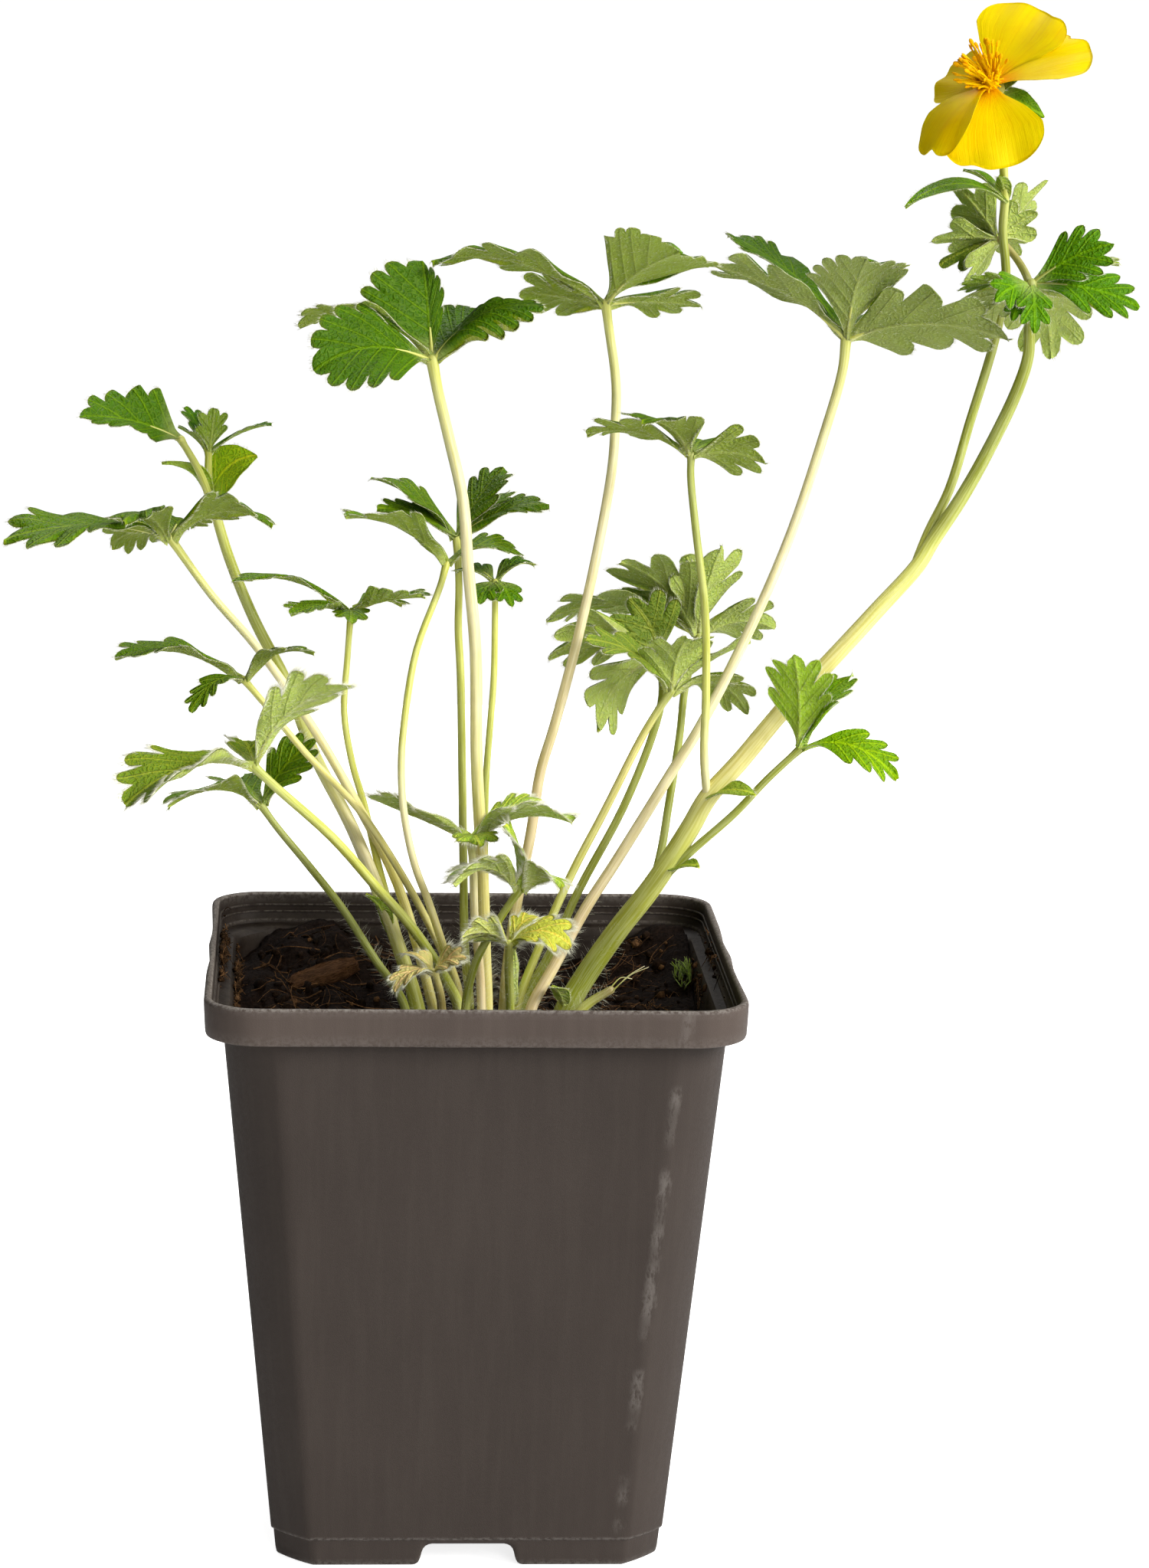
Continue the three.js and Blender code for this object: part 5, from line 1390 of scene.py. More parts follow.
def dome(sheaf, seat, facing, side, other):
    """The rounded receptacle under the styles."""
    out = spokes(circle(24), side, other)
    rings = [
        seat + facing * 1.7 * math.sin(turn) + out * 1.75 * math.cos(turn)
        for turn in np.linspace(-1.2, 1.5, 12)
    ]
    sheaf.add_rings(rings, LEAF_PAINT, tint=STYLE)


def square_ring(half, corner, roundness, z):
    """A square ring with rounded or cut corners and set points along its sides."""
    straight_half = half - corner
    share = np.linspace(0, 1, CORNER_STEPS + 1)
    bent = np.stack([np.cos(share * math.pi / 2), np.sin(share * math.pi / 2)], axis=1)
    straight = np.stack([1 - share, share], axis=1)
    bow = straight_half + corner * (straight + (bent - straight) * roundness)
    beyond = (np.abs(SIDE_POINTS) - SIDE_MIDDLE) / (SIDE_END - SIDE_MIDDLE)
    outer = np.sign(SIDE_POINTS) * (SIDE_MIDDLE + beyond * (straight_half - SIDE_MIDDLE))
    along = np.where(beyond > 0, outer, SIDE_POINTS)
    edge = np.column_stack([-along, np.full(len(along), half)])
    points = []
    for quarter in range(4):
        turn = quarter * math.pi / 2
        turned = np.array([[math.cos(turn), math.sin(turn)], [-math.sin(turn), math.cos(turn)]])
        points += [bow @ turned, edge @ turned]
    ring = np.concatenate(points)
    return np.column_stack([ring, np.full(len(ring), z)])


def sides_of(ring):
    """The points along each side of a square ring, with the turn of that side."""
    quarter = len(ring) // 4
    for k in range(4):
        start = k * quarter + CORNER_STEPS + 1
        yield ring[start:start + len(SIDE_POINTS)], k * math.pi / 2


def body_half(z):
    """Half width of the pot's body at a height."""
    return BASE_HALF + (BODY_TOP_HALF - BASE_HALF) * z / BAND_UNDER


def body_ring(z, inset=0.0, lifted=0.0):
    """A ring on the pot's body, drawn in by an inset and lifted over the foot's openings."""
    share = z / POT_HEIGHT
    ring = square_ring(body_half(z) - inset, 6 + 3 * share, 0.2 + 0.35 * share, z)
    for part, _ in sides_of(ring):
        part[:, 2] += np.interp(np.abs(SIDE_POINTS), NOTCH_REACH, NOTCH_RISE) * lifted
    return ring


def band_ring(half, corner, z, uneven):
    """A ring of the rim, with its sides very slightly uneven."""
    ring = square_ring(half, corner, 1, z)
    facet = np.interp(SIDE_POINTS, RIM_FACETS, RIM_OFFSETS) * uneven
    for part, turn in sides_of(ring):
        part[:, 0] += -math.sin(turn) * facet
        part[:, 1] += math.cos(turn) * facet
    return ring


def make_pot(skins):
    """The moulded pot: one wall from the hollow foot up over the rim to the floor inside."""
    rows = [
        (body_ring(z, inset, lifted), wear_and_glint, inner)
        for z, inset, lifted, wear_and_glint, inner in FOOT_ROWS
    ]
    rows += [(body_ring(z), 0, 0) for z in BODY_HEIGHTS]
    rows += [(body_ring(z, inset), 0, 0) for z, inset in UNDER_BAND_ROWS]
    rows += [
        (band_ring(RIM_HALF - inset, corner, POT_HEIGHT - drop, uneven), wear_and_glint, inner)
        for inset, corner, drop, uneven, wear_and_glint, inner in RIM_ROWS
    ]
    rows += [(body_ring(z, inset), wear_and_glint, 1) for z, inset, wear_and_glint in INNER_ROWS]
    rings = np.array([ring for ring, _, _ in rows])
    # Each row's marks: its pale wear, partly a painted highlight; how far inside it is, for painted
    # shade and soil dirt; and whether it is the rim's outside, which is painted lighter.
    marks = np.array([
        (wear_and_glint, inner, float(inner == 0 and ring[0, 2] > BAND_UNDER + 0.2))
        for ring, wear_and_glint, inner in rows
    ])
    sheaf = Sheaf()
    count = rings.shape[1]
    sheaf.add_rings(rings, 0, flat=rings.reshape(-1, 3), veins=np.repeat(marks, count, axis=0))
    pot = sheaf.piece("fine_pot", [skins["pot"]], ["pot"])
    drill(pot)
    mark_sharp(pot, 40)


def drill(pot):
    """Cuts the drain holes through the pot's floor."""
    sheaf = Sheaf()
    for x, y in ((0, 0), (1, 1), (-1, 1), (-1, -1), (1, -1)):
        centre = np.array([x * DRAIN_SPREAD, y * DRAIN_SPREAD, 0])
        out = DRAIN_RADIUS * spokes(circle(40), np.array([1, 0, 0]), np.array([0, 1, 0]))
        sheaf.add_rings([centre + out + UP * z for z in (FLOOR_UNDER - 1, FLOOR_TOP + 1)], 0)
    cutter = sheaf.piece("drill_bits", [])
    cut = pot.modifiers.new("holes", "BOOLEAN")
    cut.operation = "DIFFERENCE"
    cut.solver = "EXACT"
    cut.object = cutter
    apply_modifiers(pot)
    bpy.data.objects.remove(cutter)


def apply_modifiers(made):
    """Puts what an object's modifiers make into its own mesh."""
    graph = bpy.context.evaluated_depsgraph_get()
    shaped = bpy.data.meshes.new_from_object(made.evaluated_get(graph))
    made.modifiers.clear()
    made.data = shaped


def mark_sharp(made, angle):
    """Smooth shading with crisp edges where the surface turns by more than an angle."""
    made.data.shade_smooth()
    made.data.set_sharp_from_angle(angle=math.radians(angle))


def soil_height(x, y):
    """Height of the soil's surface: heaped up at the back left and back right."""
    rise = 0.5 * np.sin(x * 0.55 + y * 0.2) + 0.45 * np.cos(y * 0.6 - x * 0.25)
    for heap_x, heap_y, heap, reach in SOIL_HEAPS:
        rise = rise + heap * np.exp(-((x - heap_x) ** 2 + (y - heap_y) ** 2) / reach ** 2)
    return SOIL_LEVEL + rise


def rough_height(x, y):
    """Height of the soil with its lumps and hollows."""
    fine = [
        1.1 * noise.fractal((a * 0.16, b * 0.16, 3.7), 0.9, 2.1, 5)
        + 0.35 * noise.noise((a * 0.9, b * 0.9, 8.1))
        for a, b in zip(np.ravel(x), np.ravel(y))
    ]
    return soil_height(x, y) + np.reshape(fine, np.shape(x))


def on_soil(x, y, above=0.0):
    """The point on the soil's surface at x and y, or above it."""
    return np.array([x, y, float(rough_height(x, y)) + above])


def inside_half(z):
    """Half width of the space inside the pot for soil at a height."""
    return body_half(z) - WALL - SOIL_GAP


def squared(u, v, half):
    """Places shares of a square inside the pot's rounded square."""
    m = np.maximum(np.abs(u), np.abs(v))
    n = np.minimum(np.abs(u), np.abs(v)) / np.maximum(m, 1e-6)
    corner = 8.6 / half
    beyond = np.clip((n - (1 - corner)) / corner, 0, 1)
    pull = 1 - 0.092 * corner / 0.2 * beyond ** 2.2 * m ** 4
    return u * half * pull, v * half * pull


def scattered(draws, most):
    """A place drawn anywhere on the soil, up to a share of the way to the wall."""
    u, v = draws.uniform(-most, most, 2)
    x, y = squared(u, v, inside_half(SOIL_LEVEL))
    return float(x), float(y)


def make_soil(skins):
    """The potting soil: a rough surface on a block that fills the pot."""
    widest = inside_half(SOIL_TOP)
    line = np.linspace(-1, 1, SOIL_COLUMNS)
    v, u = np.meshgrid(line, line, indexing="ij")
    x, y = squared(u, v, widest)
    z = rough_height(x, y)
    room = inside_half(z) / widest
    m = np.maximum(np.abs(u), np.abs(v))
    x, y = x * (1 + (room - 1) * m ** 3), y * (1 + (room - 1) * m ** 3)
    top = np.stack([x, y, z], axis=-1).reshape(-1, 3)
    ring = rim_of(SOIL_COLUMNS, SOIL_COLUMNS)
    u, v = u.ravel()[ring], v.ravel()[ring]
    base_x, base_y = squared(u, v, widest)
    walls = []
    for level in SOIL_SIDES_AT:
        scale = (inside_half(level) - (0.9 if level < 7 else 0.1)) / widest
        scale = scale * (1 - 0.022 * (SOIL_TOP - level) / 85 * np.abs(u * v) ** 6)
        walls.append(np.column_stack([base_x * scale, base_y * scale, np.full(len(ring), level)]))
    count, first = len(ring), len(top)
    around = first + np.arange(count)
    skirt = np.stack([ring, np.roll(ring, -1), np.roll(around, -1), around], axis=1)
    sheaf = Sheaf()
    sheaf.add(
        np.concatenate([top, *walls]),
        [
            grid_faces(SOIL_COLUMNS, SOIL_COLUMNS),
            skirt[:, ::-1],
            tube_faces(len(walls), count, first)[:, ::-1],
            (around + (len(walls) - 1) * count)[None, :],
        ],
        0,
        tint=SOIL_BROWN,
    )
    draws = np.random.default_rng(301)
    crumbs(sheaf, draws)
    fibres(sheaf, draws)
    stuck_soil(sheaf, draws)
    sheaf.piece("fine_soil", [skins["soil"]], ["soil"])


def ball(level):
    """Points and triangles of an even ball."""
    mesh = bmesh.new()
    bmesh.ops.create_icosphere(mesh, subdivisions=level, radius=1)
    points = np.array([vert.co[:] for vert in mesh.verts])
    faces = np.array([[vert.index for vert in face.verts] for face in mesh.faces])
    mesh.free()
    return points, faces


def crumb(sheaf, shape, place, size, hue, draws):
    """One lump of soil."""
    points, faces = shape
    stretch = draws.uniform(0.6, 1.35, 3) * size
    seed = draws.uniform(0, 50)
    bumps = [1 + 0.45 * noise.noise(Vector(p * 1.7 + seed)) for p in points]
    lump = points * np.array(bumps)[:, None] * stretch
    axis = Vector(unit(draws.normal(0, 1, 3)))
    spin = np.array(Matrix.Rotation(draws.uniform(0, 6.3), 3, axis))
    sheaf.add(lump @ spin.T + place, [faces], 0, tint=hue)


def crumbs(sheaf, draws):
    """Lumps of soil lying on the surface."""
    shape = ball(2)
    for i in range(CRUMB_COUNT):
        x, y = scattered(draws, 0.94)
        size = 0.3 + 0.95 * draws.uniform() ** 2.6
        tone = CRUMB_BROWN if draws.uniform() < 0.88 else FIBRE_BROWN
        hue = np.array(tone) * draws.uniform(0.4, 1)
        crumb(sheaf, shape, on_soil(x, y, 0.25 * size), size, hue, draws)


def fibres(sheaf, draws):
    """Bark and root fibres lying about on the soil."""
    limit = inside_half(SOIL_LEVEL) - 1.5
    for i in range(FIBRE_COUNT):
        x, y = scattered(draws, 0.9)
        turn = draws.uniform(0, 2 * math.pi)
        length = 2.5 + 9 * draws.uniform() ** 2
        curl = draws.uniform(-0.9, 0.9)
        rows = []
        for s in (0, 0.33, 0.66, 1):
            step = length * (s - 0.5)
            angle = turn + curl * s
            end_x = np.clip(x + math.cos(angle) * step, -limit, limit)
            end_y = np.clip(y + math.sin(angle) * step, -limit, limit)
            rows.append(on_soil(end_x, end_y, 0.3 + draws.uniform(0, 0.9)))
        radius = 0.04 + 0.13 * draws.uniform() ** 2
        hue = np.array(FIBRE_BROWN) * draws.uniform(0.15, 1.2)
        bare_stalk(sheaf, rows, [radius, radius * 0.5], [hue, hue], draws, 5, 2)


def stuck_soil(sheaf, draws):
    """Crumbs and fibres caught on the side walls, mostly the left one, up to the rim."""
    shape = ball(1)
    for i in range(STUCK_COUNT):
        side = 1 if i % 5 == 0 else -1
        y = draws.normal(8, 9)
        z = SOIL_LEVEL + 3 + 10.4 * draws.uniform() ** 0.8
        wall = RIM_HALF - 2.1 if z > POT_HEIGHT - 4.6 else body_half(min(z, 93)) - WALL
        size = 0.15 + 0.6 * draws.uniform() ** 3
        place = np.array([side * (wall - 0.4 * size - 0.5 * draws.uniform() ** 3), y, z])
        hue = np.array(FIBRE_BROWN) * draws.uniform(0.08, 0.7)
        if i % 3:
            crumb(sheaf, shape, place, size, hue, draws)
        else:
            inward = -side * draws.uniform(0.2, 1.6)
            sweep = np.array([inward, draws.normal(0, 2.5), draws.uniform(-3, 1.5)])
            bend = draws.normal(0, 0.3, 3) * (0, 1, 1)
            rows = [place, place + 0.5 * sweep + bend, place + sweep]
            bare_stalk(sheaf, rows, [0.1, 0.05], [hue * 1.6, hue * 1.6], draws, 5, 2)


def make_chip(skins):
    """A split piece of bark standing in the soil."""
    long, wide, high = (size / 2 for size in CHIP_SIZE)
    around_x, around_y, around_z = (math.radians(angle) for angle in CHIP_TURN)
    spin = Matrix.Rotation(around_x, 3, "X") @ Matrix.Rotation(around_y, 3, "Y")
    spin = spin @ Matrix.Rotation(around_z, 3, "Z")
    angles = circle(44)
    cos, sin = np.cos(angles), np.sin(angles)
    rings = []
    for u in np.linspace(-1, 1, CHIP_RINGS):
        reach = np.interp(u, [-1, -0.9, -0.4, 0.6, 1], [0.5, 0.8, 1, 0.92, 0.5])
        y = np.sign(cos) * np.abs(cos) ** 0.5 * wide * reach
        z = np.sign(sin) * np.abs(sin) ** 0.6 * high * (0.75 + 0.25 * reach)
        groove = np.array([noise.noise((u * 1.3, a * 3.1, 5.5)) for a in y + 9 * z])
        fine = np.array([noise.noise((u * 3.1, a * 9.0, 1.5)) for a in y + 5 * z])
        ragged = 0.7 * fine * (abs(u) > 0.97) + 0.5 * groove * (abs(u) > 0.9)
        z = z + 0.32 * groove + 0.12 * fine
        rings.append(np.column_stack([u * long + ragged, y * (1 + 0.1 * groove), z]))
    rings = np.array(rings)
    sheaf = Sheaf()
    turned = rings @ np.array(spin).T + CHIP_AT
    sheaf.add_rings(turned, 0, flat=rings.reshape(-1, 3), tint=CHIP_BROWN)
    chip = sheaf.piece("fine_bark_chip", [skins["bark"]], ["bark_chip"])
    mark_sharp(chip, 50)


def make_stub(skins):
    """The cut stub of an old stem."""
    draws = np.random.default_rng(302)
    sheaf = Sheaf()
    stalk(sheaf, STUB, STUB_RADIUS, [MOSS_GREEN, LIME, LIME, BRONZE], draws, 0.3, sides=16)
    end = np.array(STUB[-1])
    for tip in STUB_THREADS:
        start = end + draws.normal(0, 0.35, 3)
        rows = [start, start + np.array(tip) * 0.5 + (0, 0, 0.8), end + tip]
        bare_stalk(sheaf, rows, [0.12, 0.06], [LIME, CREAM], draws, 6, 5, STALK_PAINT)
    sheaf.piece("fine_stem_stub", plant_skins(skins), ["stem_stub"])


def grow_moss(skins):
    """A small tuft of moss by the right wall."""
    draws = np.random.default_rng(303)
    limit = inside_half(SOIL_TOP) - 0.4
    sheaf = Sheaf()
    for i in range(MOSS_COUNT):
        x = min(MOSS_AT[0] + draws.normal(0, 0.9), limit)
        y = min(MOSS_AT[1] + draws.normal(0, 1.2), limit)
        foot = on_soil(x, y, -0.2)
        tip = foot + np.array([*draws.normal(0, 0.45, 2), 1.0]) * draws.uniform(1.2, 2.8)
        tip[0] = min(tip[0], limit)
        tone = np.array(MOSS_LIGHT) * draws.uniform(0.15, 1.0)
        rows = [foot, (foot + tip) / 2 + draws.normal(0, 0.15, 3), tip]
        bare_stalk(sheaf, rows, [0.16, 0.05], [tone * 0.4, tone], draws, 5, 2)
    sheaf.piece("moss_tuft", [skins["stalk"]])


class Nodes:
    """Short ways to add shader nodes to a tree."""

    def __init__(self, tree):
        self.tree = tree

    def give(self, node, inputs):
        """Sets inputs of a node to values, or links them to other nodes' outputs."""
        for key, value in inputs.items():
            if isinstance(value, bpy.types.NodeSocket):
                self.tree.links.new(value, node.inputs[key])
            else:
                node.inputs[key].default_value = value

    def add(self, kind, inputs=None, **settings):
        """A node with its settings, and values or links for its inputs."""
        node = self.tree.nodes.new(kind)
        for key, value in settings.items():
            setattr(node, key, value)
        self.give(node, inputs or {})
        return node

    def use(self, effect, inputs):
        """The outputs of a shared effect placed in this tree."""
        return self.add("ShaderNodeGroup", inputs, node_tree=effect).outputs

    def maths(self, operation, first, second=0.0):
        """The result of an operation on one or two values."""
        return self.add("ShaderNodeMath", {0: first, 1: second}, operation=operation).outputs[0]

    def plus(self, first, second):
        """The sum of two values."""
        return self.maths("ADD", first, second)

    def times(self, first, second):
        """The product of two values."""
        return self.maths("MULTIPLY", first, second)

    def fade(self, value, start, end, low=0.0, high=1.0):
        """A value that goes smoothly from low at start to high at end."""
        return self.add(
            "ShaderNodeMapRange",
            {"Value": value, "From Min": start, "From Max": end, "To Min": low, "To Max": high},
            interpolation_type="SMOOTHSTEP",
        ).outputs[0]

    def mix(self, share, first, second, blend="MIX"):
        """A colour between two."""
        inputs = {0: share, 6: whole(first), 7: whole(second)}
        return self.add("ShaderNodeMix", inputs, data_type="RGBA", blend_type=blend).outputs[2]

    def gained(self, colour, gain, share=1.0):
        """A colour multiplied by a gain for each of its parts, or a share of the way."""
        return self.mix(share, colour, gain, "MULTIPLY")

    def noise(self, vector, scale, detail=3.0, roughness=0.55):
        """Cloudy variation from 0 to 1."""
        inputs = {"Vector": vector, "Scale": scale, "Detail": detail, "Roughness": roughness}
        return self.add("ShaderNodeTexNoise", inputs).outputs["Fac"]

    def bump(self, height, strength, distance):
        """A normal tilted by a height."""
        inputs = {"Height": height, "Strength": strength, "Distance": distance}
        return self.add("ShaderNodeBump", inputs).outputs[0]

    def stretch(self, vector, scale):
        """Coordinates stretched by a scale along each axis."""
        inputs = {0: vector, 1: scale}
        return self.add("ShaderNodeVectorMath", inputs, operation="MULTIPLY").outputs[0]

    def place(self):
        """Where a point is on its object, in metres."""
        return self.add("ShaderNodeTexCoord").outputs["Object"]

    def millimetres(self):
        """Where a point is on its object, in millimetres."""
        return self.stretch(self.place(), (1000.0,) * 3)

    def paint(self, name, output="Vector"):
        """Values painted on the mesh's points."""
        return self.add("ShaderNodeAttribute", attribute_name=name).outputs[output]

    def split(self, vector):
        """The three parts of a vector."""
        return self.add("ShaderNodeSeparateXYZ", {0: vector}).outputs

    def join(self, parts):
        """A vector of parts given by their place in it."""
        return self.add("ShaderNodeCombineXYZ", parts).outputs[0]

    def seen(self):
        """1 where the camera looks straight at a point."""
        return self.add("ShaderNodeLightPath").outputs["Is Camera Ray"]


def whole(colour):
    """A colour with its fourth part, or a link as it is."""
    if isinstance(colour, bpy.types.NodeSocket):
        return colour
    return (*colour[:3], 1.0)


def effect(name, inputs, outputs):
    """The nodes of an empty node group with named sockets, and its two ends."""
    tree = bpy.data.node_groups.new(name, "ShaderNodeTree")
    for key, kind in inputs.items():
        tree.interface.new_socket(name=key, in_out="INPUT", socket_type=kind)
    for key, kind in outputs.items():
        tree.interface.new_socket(name=key, in_out="OUTPUT", socket_type=kind)
    nodes = Nodes(tree)
    return nodes, nodes.add("NodeGroupInput").outputs, nodes.add("NodeGroupOutput")


def mottle_effect():
    """Cloudy light and dark patches laid over a colour."""
    nodes, given, end = effect(
        "mottle",
        {"Colour": COLOUR, "Place": VECTOR, "Scale": FLOAT, "Depth": FLOAT},
        {"Colour": COLOUR, "Cloud": FLOAT},
    )
    cloud = nodes.noise(given["Place"], given["Scale"], 4)
    swing = nodes.maths("SUBTRACT", cloud, 0.5)
    inputs = {0: swing, 1: given["Depth"], 2: 1.0}
    gain = nodes.add("ShaderNodeMath", inputs, operation="MULTIPLY_ADD").outputs[0]
    inputs = {0: given["Colour"], "Scale": gain}
    patchy = nodes.add("ShaderNodeVectorMath", inputs, operation="SCALE").outputs[0]
    nodes.give(end, {"Colour": patchy, "Cloud": cloud})
    return nodes.tree


def vein_effect():
    """A leaf's veins, the fine net between them and the height they stand at."""
    nodes, given, end = effect(
        "leaf_veins",
        {"Flat": VECTOR, "Gaps": VECTOR},
        dict.fromkeys(("Vein", "Side", "Rib", "Net", "Height", "Margin"), FLOAT),
    )
    side_gap, rib_gap, outward = nodes.split(given["Gaps"])
    side = nodes.fade(side_gap, 0.05, 0.26, 1, 0)
    rib = nodes.fade(rib_gap, 0.14, 0.4, 1, 0)
    vein = nodes.maths("MAXIMUM", side, rib)
    inputs = {"Vector": given["Flat"], "Scale": 0.9, "Detail": 2.0}
    wander = nodes.add("ShaderNodeTexNoise", inputs).outputs["Color"]
    shifted = nodes.add("ShaderNodeVectorMath", {0: wander, 1: given["Flat"]}, operation="ADD")
    cells = nodes.add(
        "ShaderNodeTexVoronoi", {"Vector": shifted.outputs[0], "Scale": 1.15},
        feature="DISTANCE_TO_EDGE", voronoi_dimensions="3D",
    ).outputs["Distance"]
    swell = nodes.times(nodes.fade(cells, 0.0, 0.32), 0.55)
    grain = nodes.times(nodes.noise(given["Flat"], 6.0, 2), 0.25)
    nodes.give(end, {
        "Vein": vein,
        "Side": side,
        "Rib": rib,
        "Net": nodes.fade(cells, 0.02, 0.16, 1, 0),
        "Height": nodes.plus(nodes.plus(swell, nodes.times(vein, -0.9)), grain),
        "Margin": nodes.fade(outward, 0.93, 0.995),
    })
    return nodes.tree


def mottled(nodes, effects, colour, place, scale, depth):
    """A colour with the shared mottling over it, and the clouds that it comes from."""
    inputs = {"Colour": colour, "Place": place, "Scale": scale, "Depth": depth}
    return nodes.use(effects["mottle"], inputs)


def new_material(name):
    """A material with only its output and a Principled shader, and its nodes."""
    material = bpy.data.materials.new(name)
    material.use_nodes = True
    nodes = Nodes(material.node_tree)
    return material, nodes, material.node_tree.nodes["Principled BSDF"]


def leaf_skin(name, effects, gain=1.0, gloss=0.5, glow=0.36, relief=1.0):
    """Skin of leaves: green and netted above, silky grey below."""
    material, nodes, shader = new_material(name)
    flat = nodes.paint("flat")
    upper = nodes.paint("upper", "Fac")
    veins = nodes.use(effects["veins"], {"Flat": flat, "Gaps": nodes.paint("veins")})
    base = mottled(nodes, effects, nodes.paint("tint"), flat, 0.16, 0.55)["Colour"]
    # deep is the painted shade of the hollows between veins; the underside's net is darkened with a
    # little of it.
    deep = nodes.gained(base, HOLLOW_SHADE_GAIN, relief)
    pale = nodes.mix(0.4, base, VEIN_PALE)
    above = leaf_above(nodes, veins, base, deep, gain, relief)
    below = leaf_below(nodes, veins, base, deep, pale, flat)
    foot = nodes.fade(nodes.split(flat)[0], 0.5, 4.5, 0.75, 0)
    colour = nodes.mix(upper, below, above)
    nodes.give(shader, {
        "Base Color": nodes.mix(foot, colour, nodes.mix(0.5, base, VEIN_PALE)),
        "Roughness": nodes.fade(upper, 0, 1, 0.68, gloss),
        "Subsurface Weight": glow,
        "Subsurface Radius": (0.7, 1.0, 0.05),
        "Subsurface Scale": 0.0007,
        "Specular IOR Level": 0.14,
        "Normal": nodes.bump(veins["Height"], 0.8, 0.0003),
    })
    return material


def leaf_above(nodes, veins, base, deep, gain, relief):
    """The upper face: painted shade in the hollows, pale veins and net, and a browner margin."""
    bright = nodes.gained(base, [gain * part for part in VEIN_GAIN])
    # Painted shade where the vein bump is low.
    colour = nodes.mix(nodes.fade(veins["Height"], 0.1, 0.7), deep, base)
    colour = nodes.mix(nodes.times(veins["Net"], 0.5 * relief), colour, bright)
    colour = nodes.mix(nodes.times(veins["Vein"], 0.8), colour, bright)
    return nodes.mix(nodes.times(veins["Margin"], 0.3), colour, MARGIN_BROWN)


def leaf_below(nodes, veins, base, deep, pale, flat):
    """The underside: streaks of silk, pale veins and a darker net."""
    silk = nodes.noise(nodes.stretch(flat, (0.5, 5.0, 1.0)), 2.2, 3)
    colour = nodes.mix(nodes.fade(silk, 0.45, 0.75), base, nodes.mix(0.42, base, SILK))
    colour = nodes.mix(nodes.times(veins["Side"], 0.25), colour, pale)
    colour = nodes.mix(nodes.times(veins["Rib"], 0.6), colour, pale)
    return nodes.mix(nodes.times(veins["Net"], 0.1), colour, deep)


def stalk_skin(effects):
    """Skin of stalks: fine ridges, with painted shade in their furrows and a painted highlight
    along their crests.
    """
    material, nodes, shader = new_material("stalk")
    flat = nodes.paint("flat")
    base = mottled(nodes, effects, nodes.paint("tint"), flat, 0.2, 0.35)["Colour"]
    ridges = nodes.noise(nodes.stretch(flat, (3.6, 0.12, 1.0)), 1.0, 3)
    freckles = nodes.noise(flat, 2.6, 3)
    # dark is the painted shade of the furrows and is also used for the freckles; light is a painted
    # highlight on the crests.
    dark = nodes.gained(base, FURROW_SHADE_GAIN)
    light = nodes.mix(0.15, base, HAIR_WHITE)
    colour = nodes.mix(nodes.fade(ridges, 0.36, 0.62), dark, light)
    nodes.give(shader, {
        "Base Color": nodes.mix(nodes.fade(freckles, 0.6, 0.78, 0, 0.15), colour, dark),
        "Roughness": nodes.fade(ridges, 0.3, 0.7, 0.42, 0.56),
        "Subsurface Weight": 0.15,
        "Subsurface Radius": (0.9, 1.0, 0.4),
        "Subsurface Scale": 0.0008,
        "Normal": nodes.bump(ridges, 0.1, 0.0002),
    })
    return material


def hair_skin():
    """Fine silky hairs, white with greyer stretches, and a faint painted glow that keeps them
    bright in the shade.
    """
    material, nodes, shader = new_material("plant_hair")
    cloud = nodes.noise(nodes.place(), 900.0, 2)
    nodes.give(shader, {
        "Base Color": nodes.mix(cloud, HAIR_WHITE, SILK),
        "Roughness": 0.45,
        # A faint painted glow, so that hairs in shade still read white.
        "Emission Color": (*HAIR_WHITE, 1.0),
        "Emission Strength": 0.12,
    })
    return material


def petal_skin():
    """Petals: clear yellow, deeper along fine veins and orange at the foot."""
    material, nodes, shader = new_material("petal")
    across, outward, _ = nodes.split(nodes.paint("veins"))
    fan = nodes.join({0: across, 1: outward})
    lines = nodes.noise(nodes.stretch(fan, (16.0, 0.9, 1.0)), 1.0, 3)
    fine = nodes.noise(nodes.stretch(fan, (60.0, 2.5, 1.0)), 1.0, 2)
    cloud = nodes.noise(nodes.paint("flat"), 0.22, 3)
    yellow = nodes.mix(nodes.fade(cloud, 0.35, 0.65), PETAL_YELLOW, PETAL_LEMON)
    yellow = nodes.mix(nodes.fade(lines, 0.5, 0.72, 0, 0.35), yellow, PETAL_GOLD)
    yellow = nodes.mix(nodes.fade(fine, 0.5, 0.75, 0, 0.2), yellow, PETAL_GOLD)
    ragged = nodes.times(nodes.maths("SUBTRACT", lines, 0.5), 0.5)
    foot = nodes.fade(nodes.plus(outward, ragged), 0.08, 0.34, 0.7, 0)
    height = nodes.plus(lines, nodes.times(fine, 0.6))
    nodes.give(shader, {
        "Base Color": nodes.mix(foot, yellow, PETAL_ORANGE),
        "Roughness": nodes.fade(fine, 0.3, 0.7, 0.42, 0.55),
        "Subsurface Weight": 0.5,
        "Subsurface Radius": (1.0, 0.85, 0.02),
        "Subsurface Scale": 0.001,
        "Specular IOR Level": 0.06,
        "Normal": nodes.bump(height, 0.4, 0.00025),
    })
    return material


def stamen_skin(effects):
    """Filaments, pollen sacs and styles, each in its own tint with a mealy grain."""
    material, nodes, shader = new_material("stamen")
    grainy = mottled(nodes, effects, nodes.paint("tint"), nodes.millimetres(), 4.0, 0.4)
    nodes.give(shader, {
        "Base Color": grainy["Colour"],
        "Roughness": 0.55,
        "Specular IOR Level": 0.05,
        "Normal": nodes.bump(grainy["Cloud"], 0.5, 0.0002),
    })
    return material


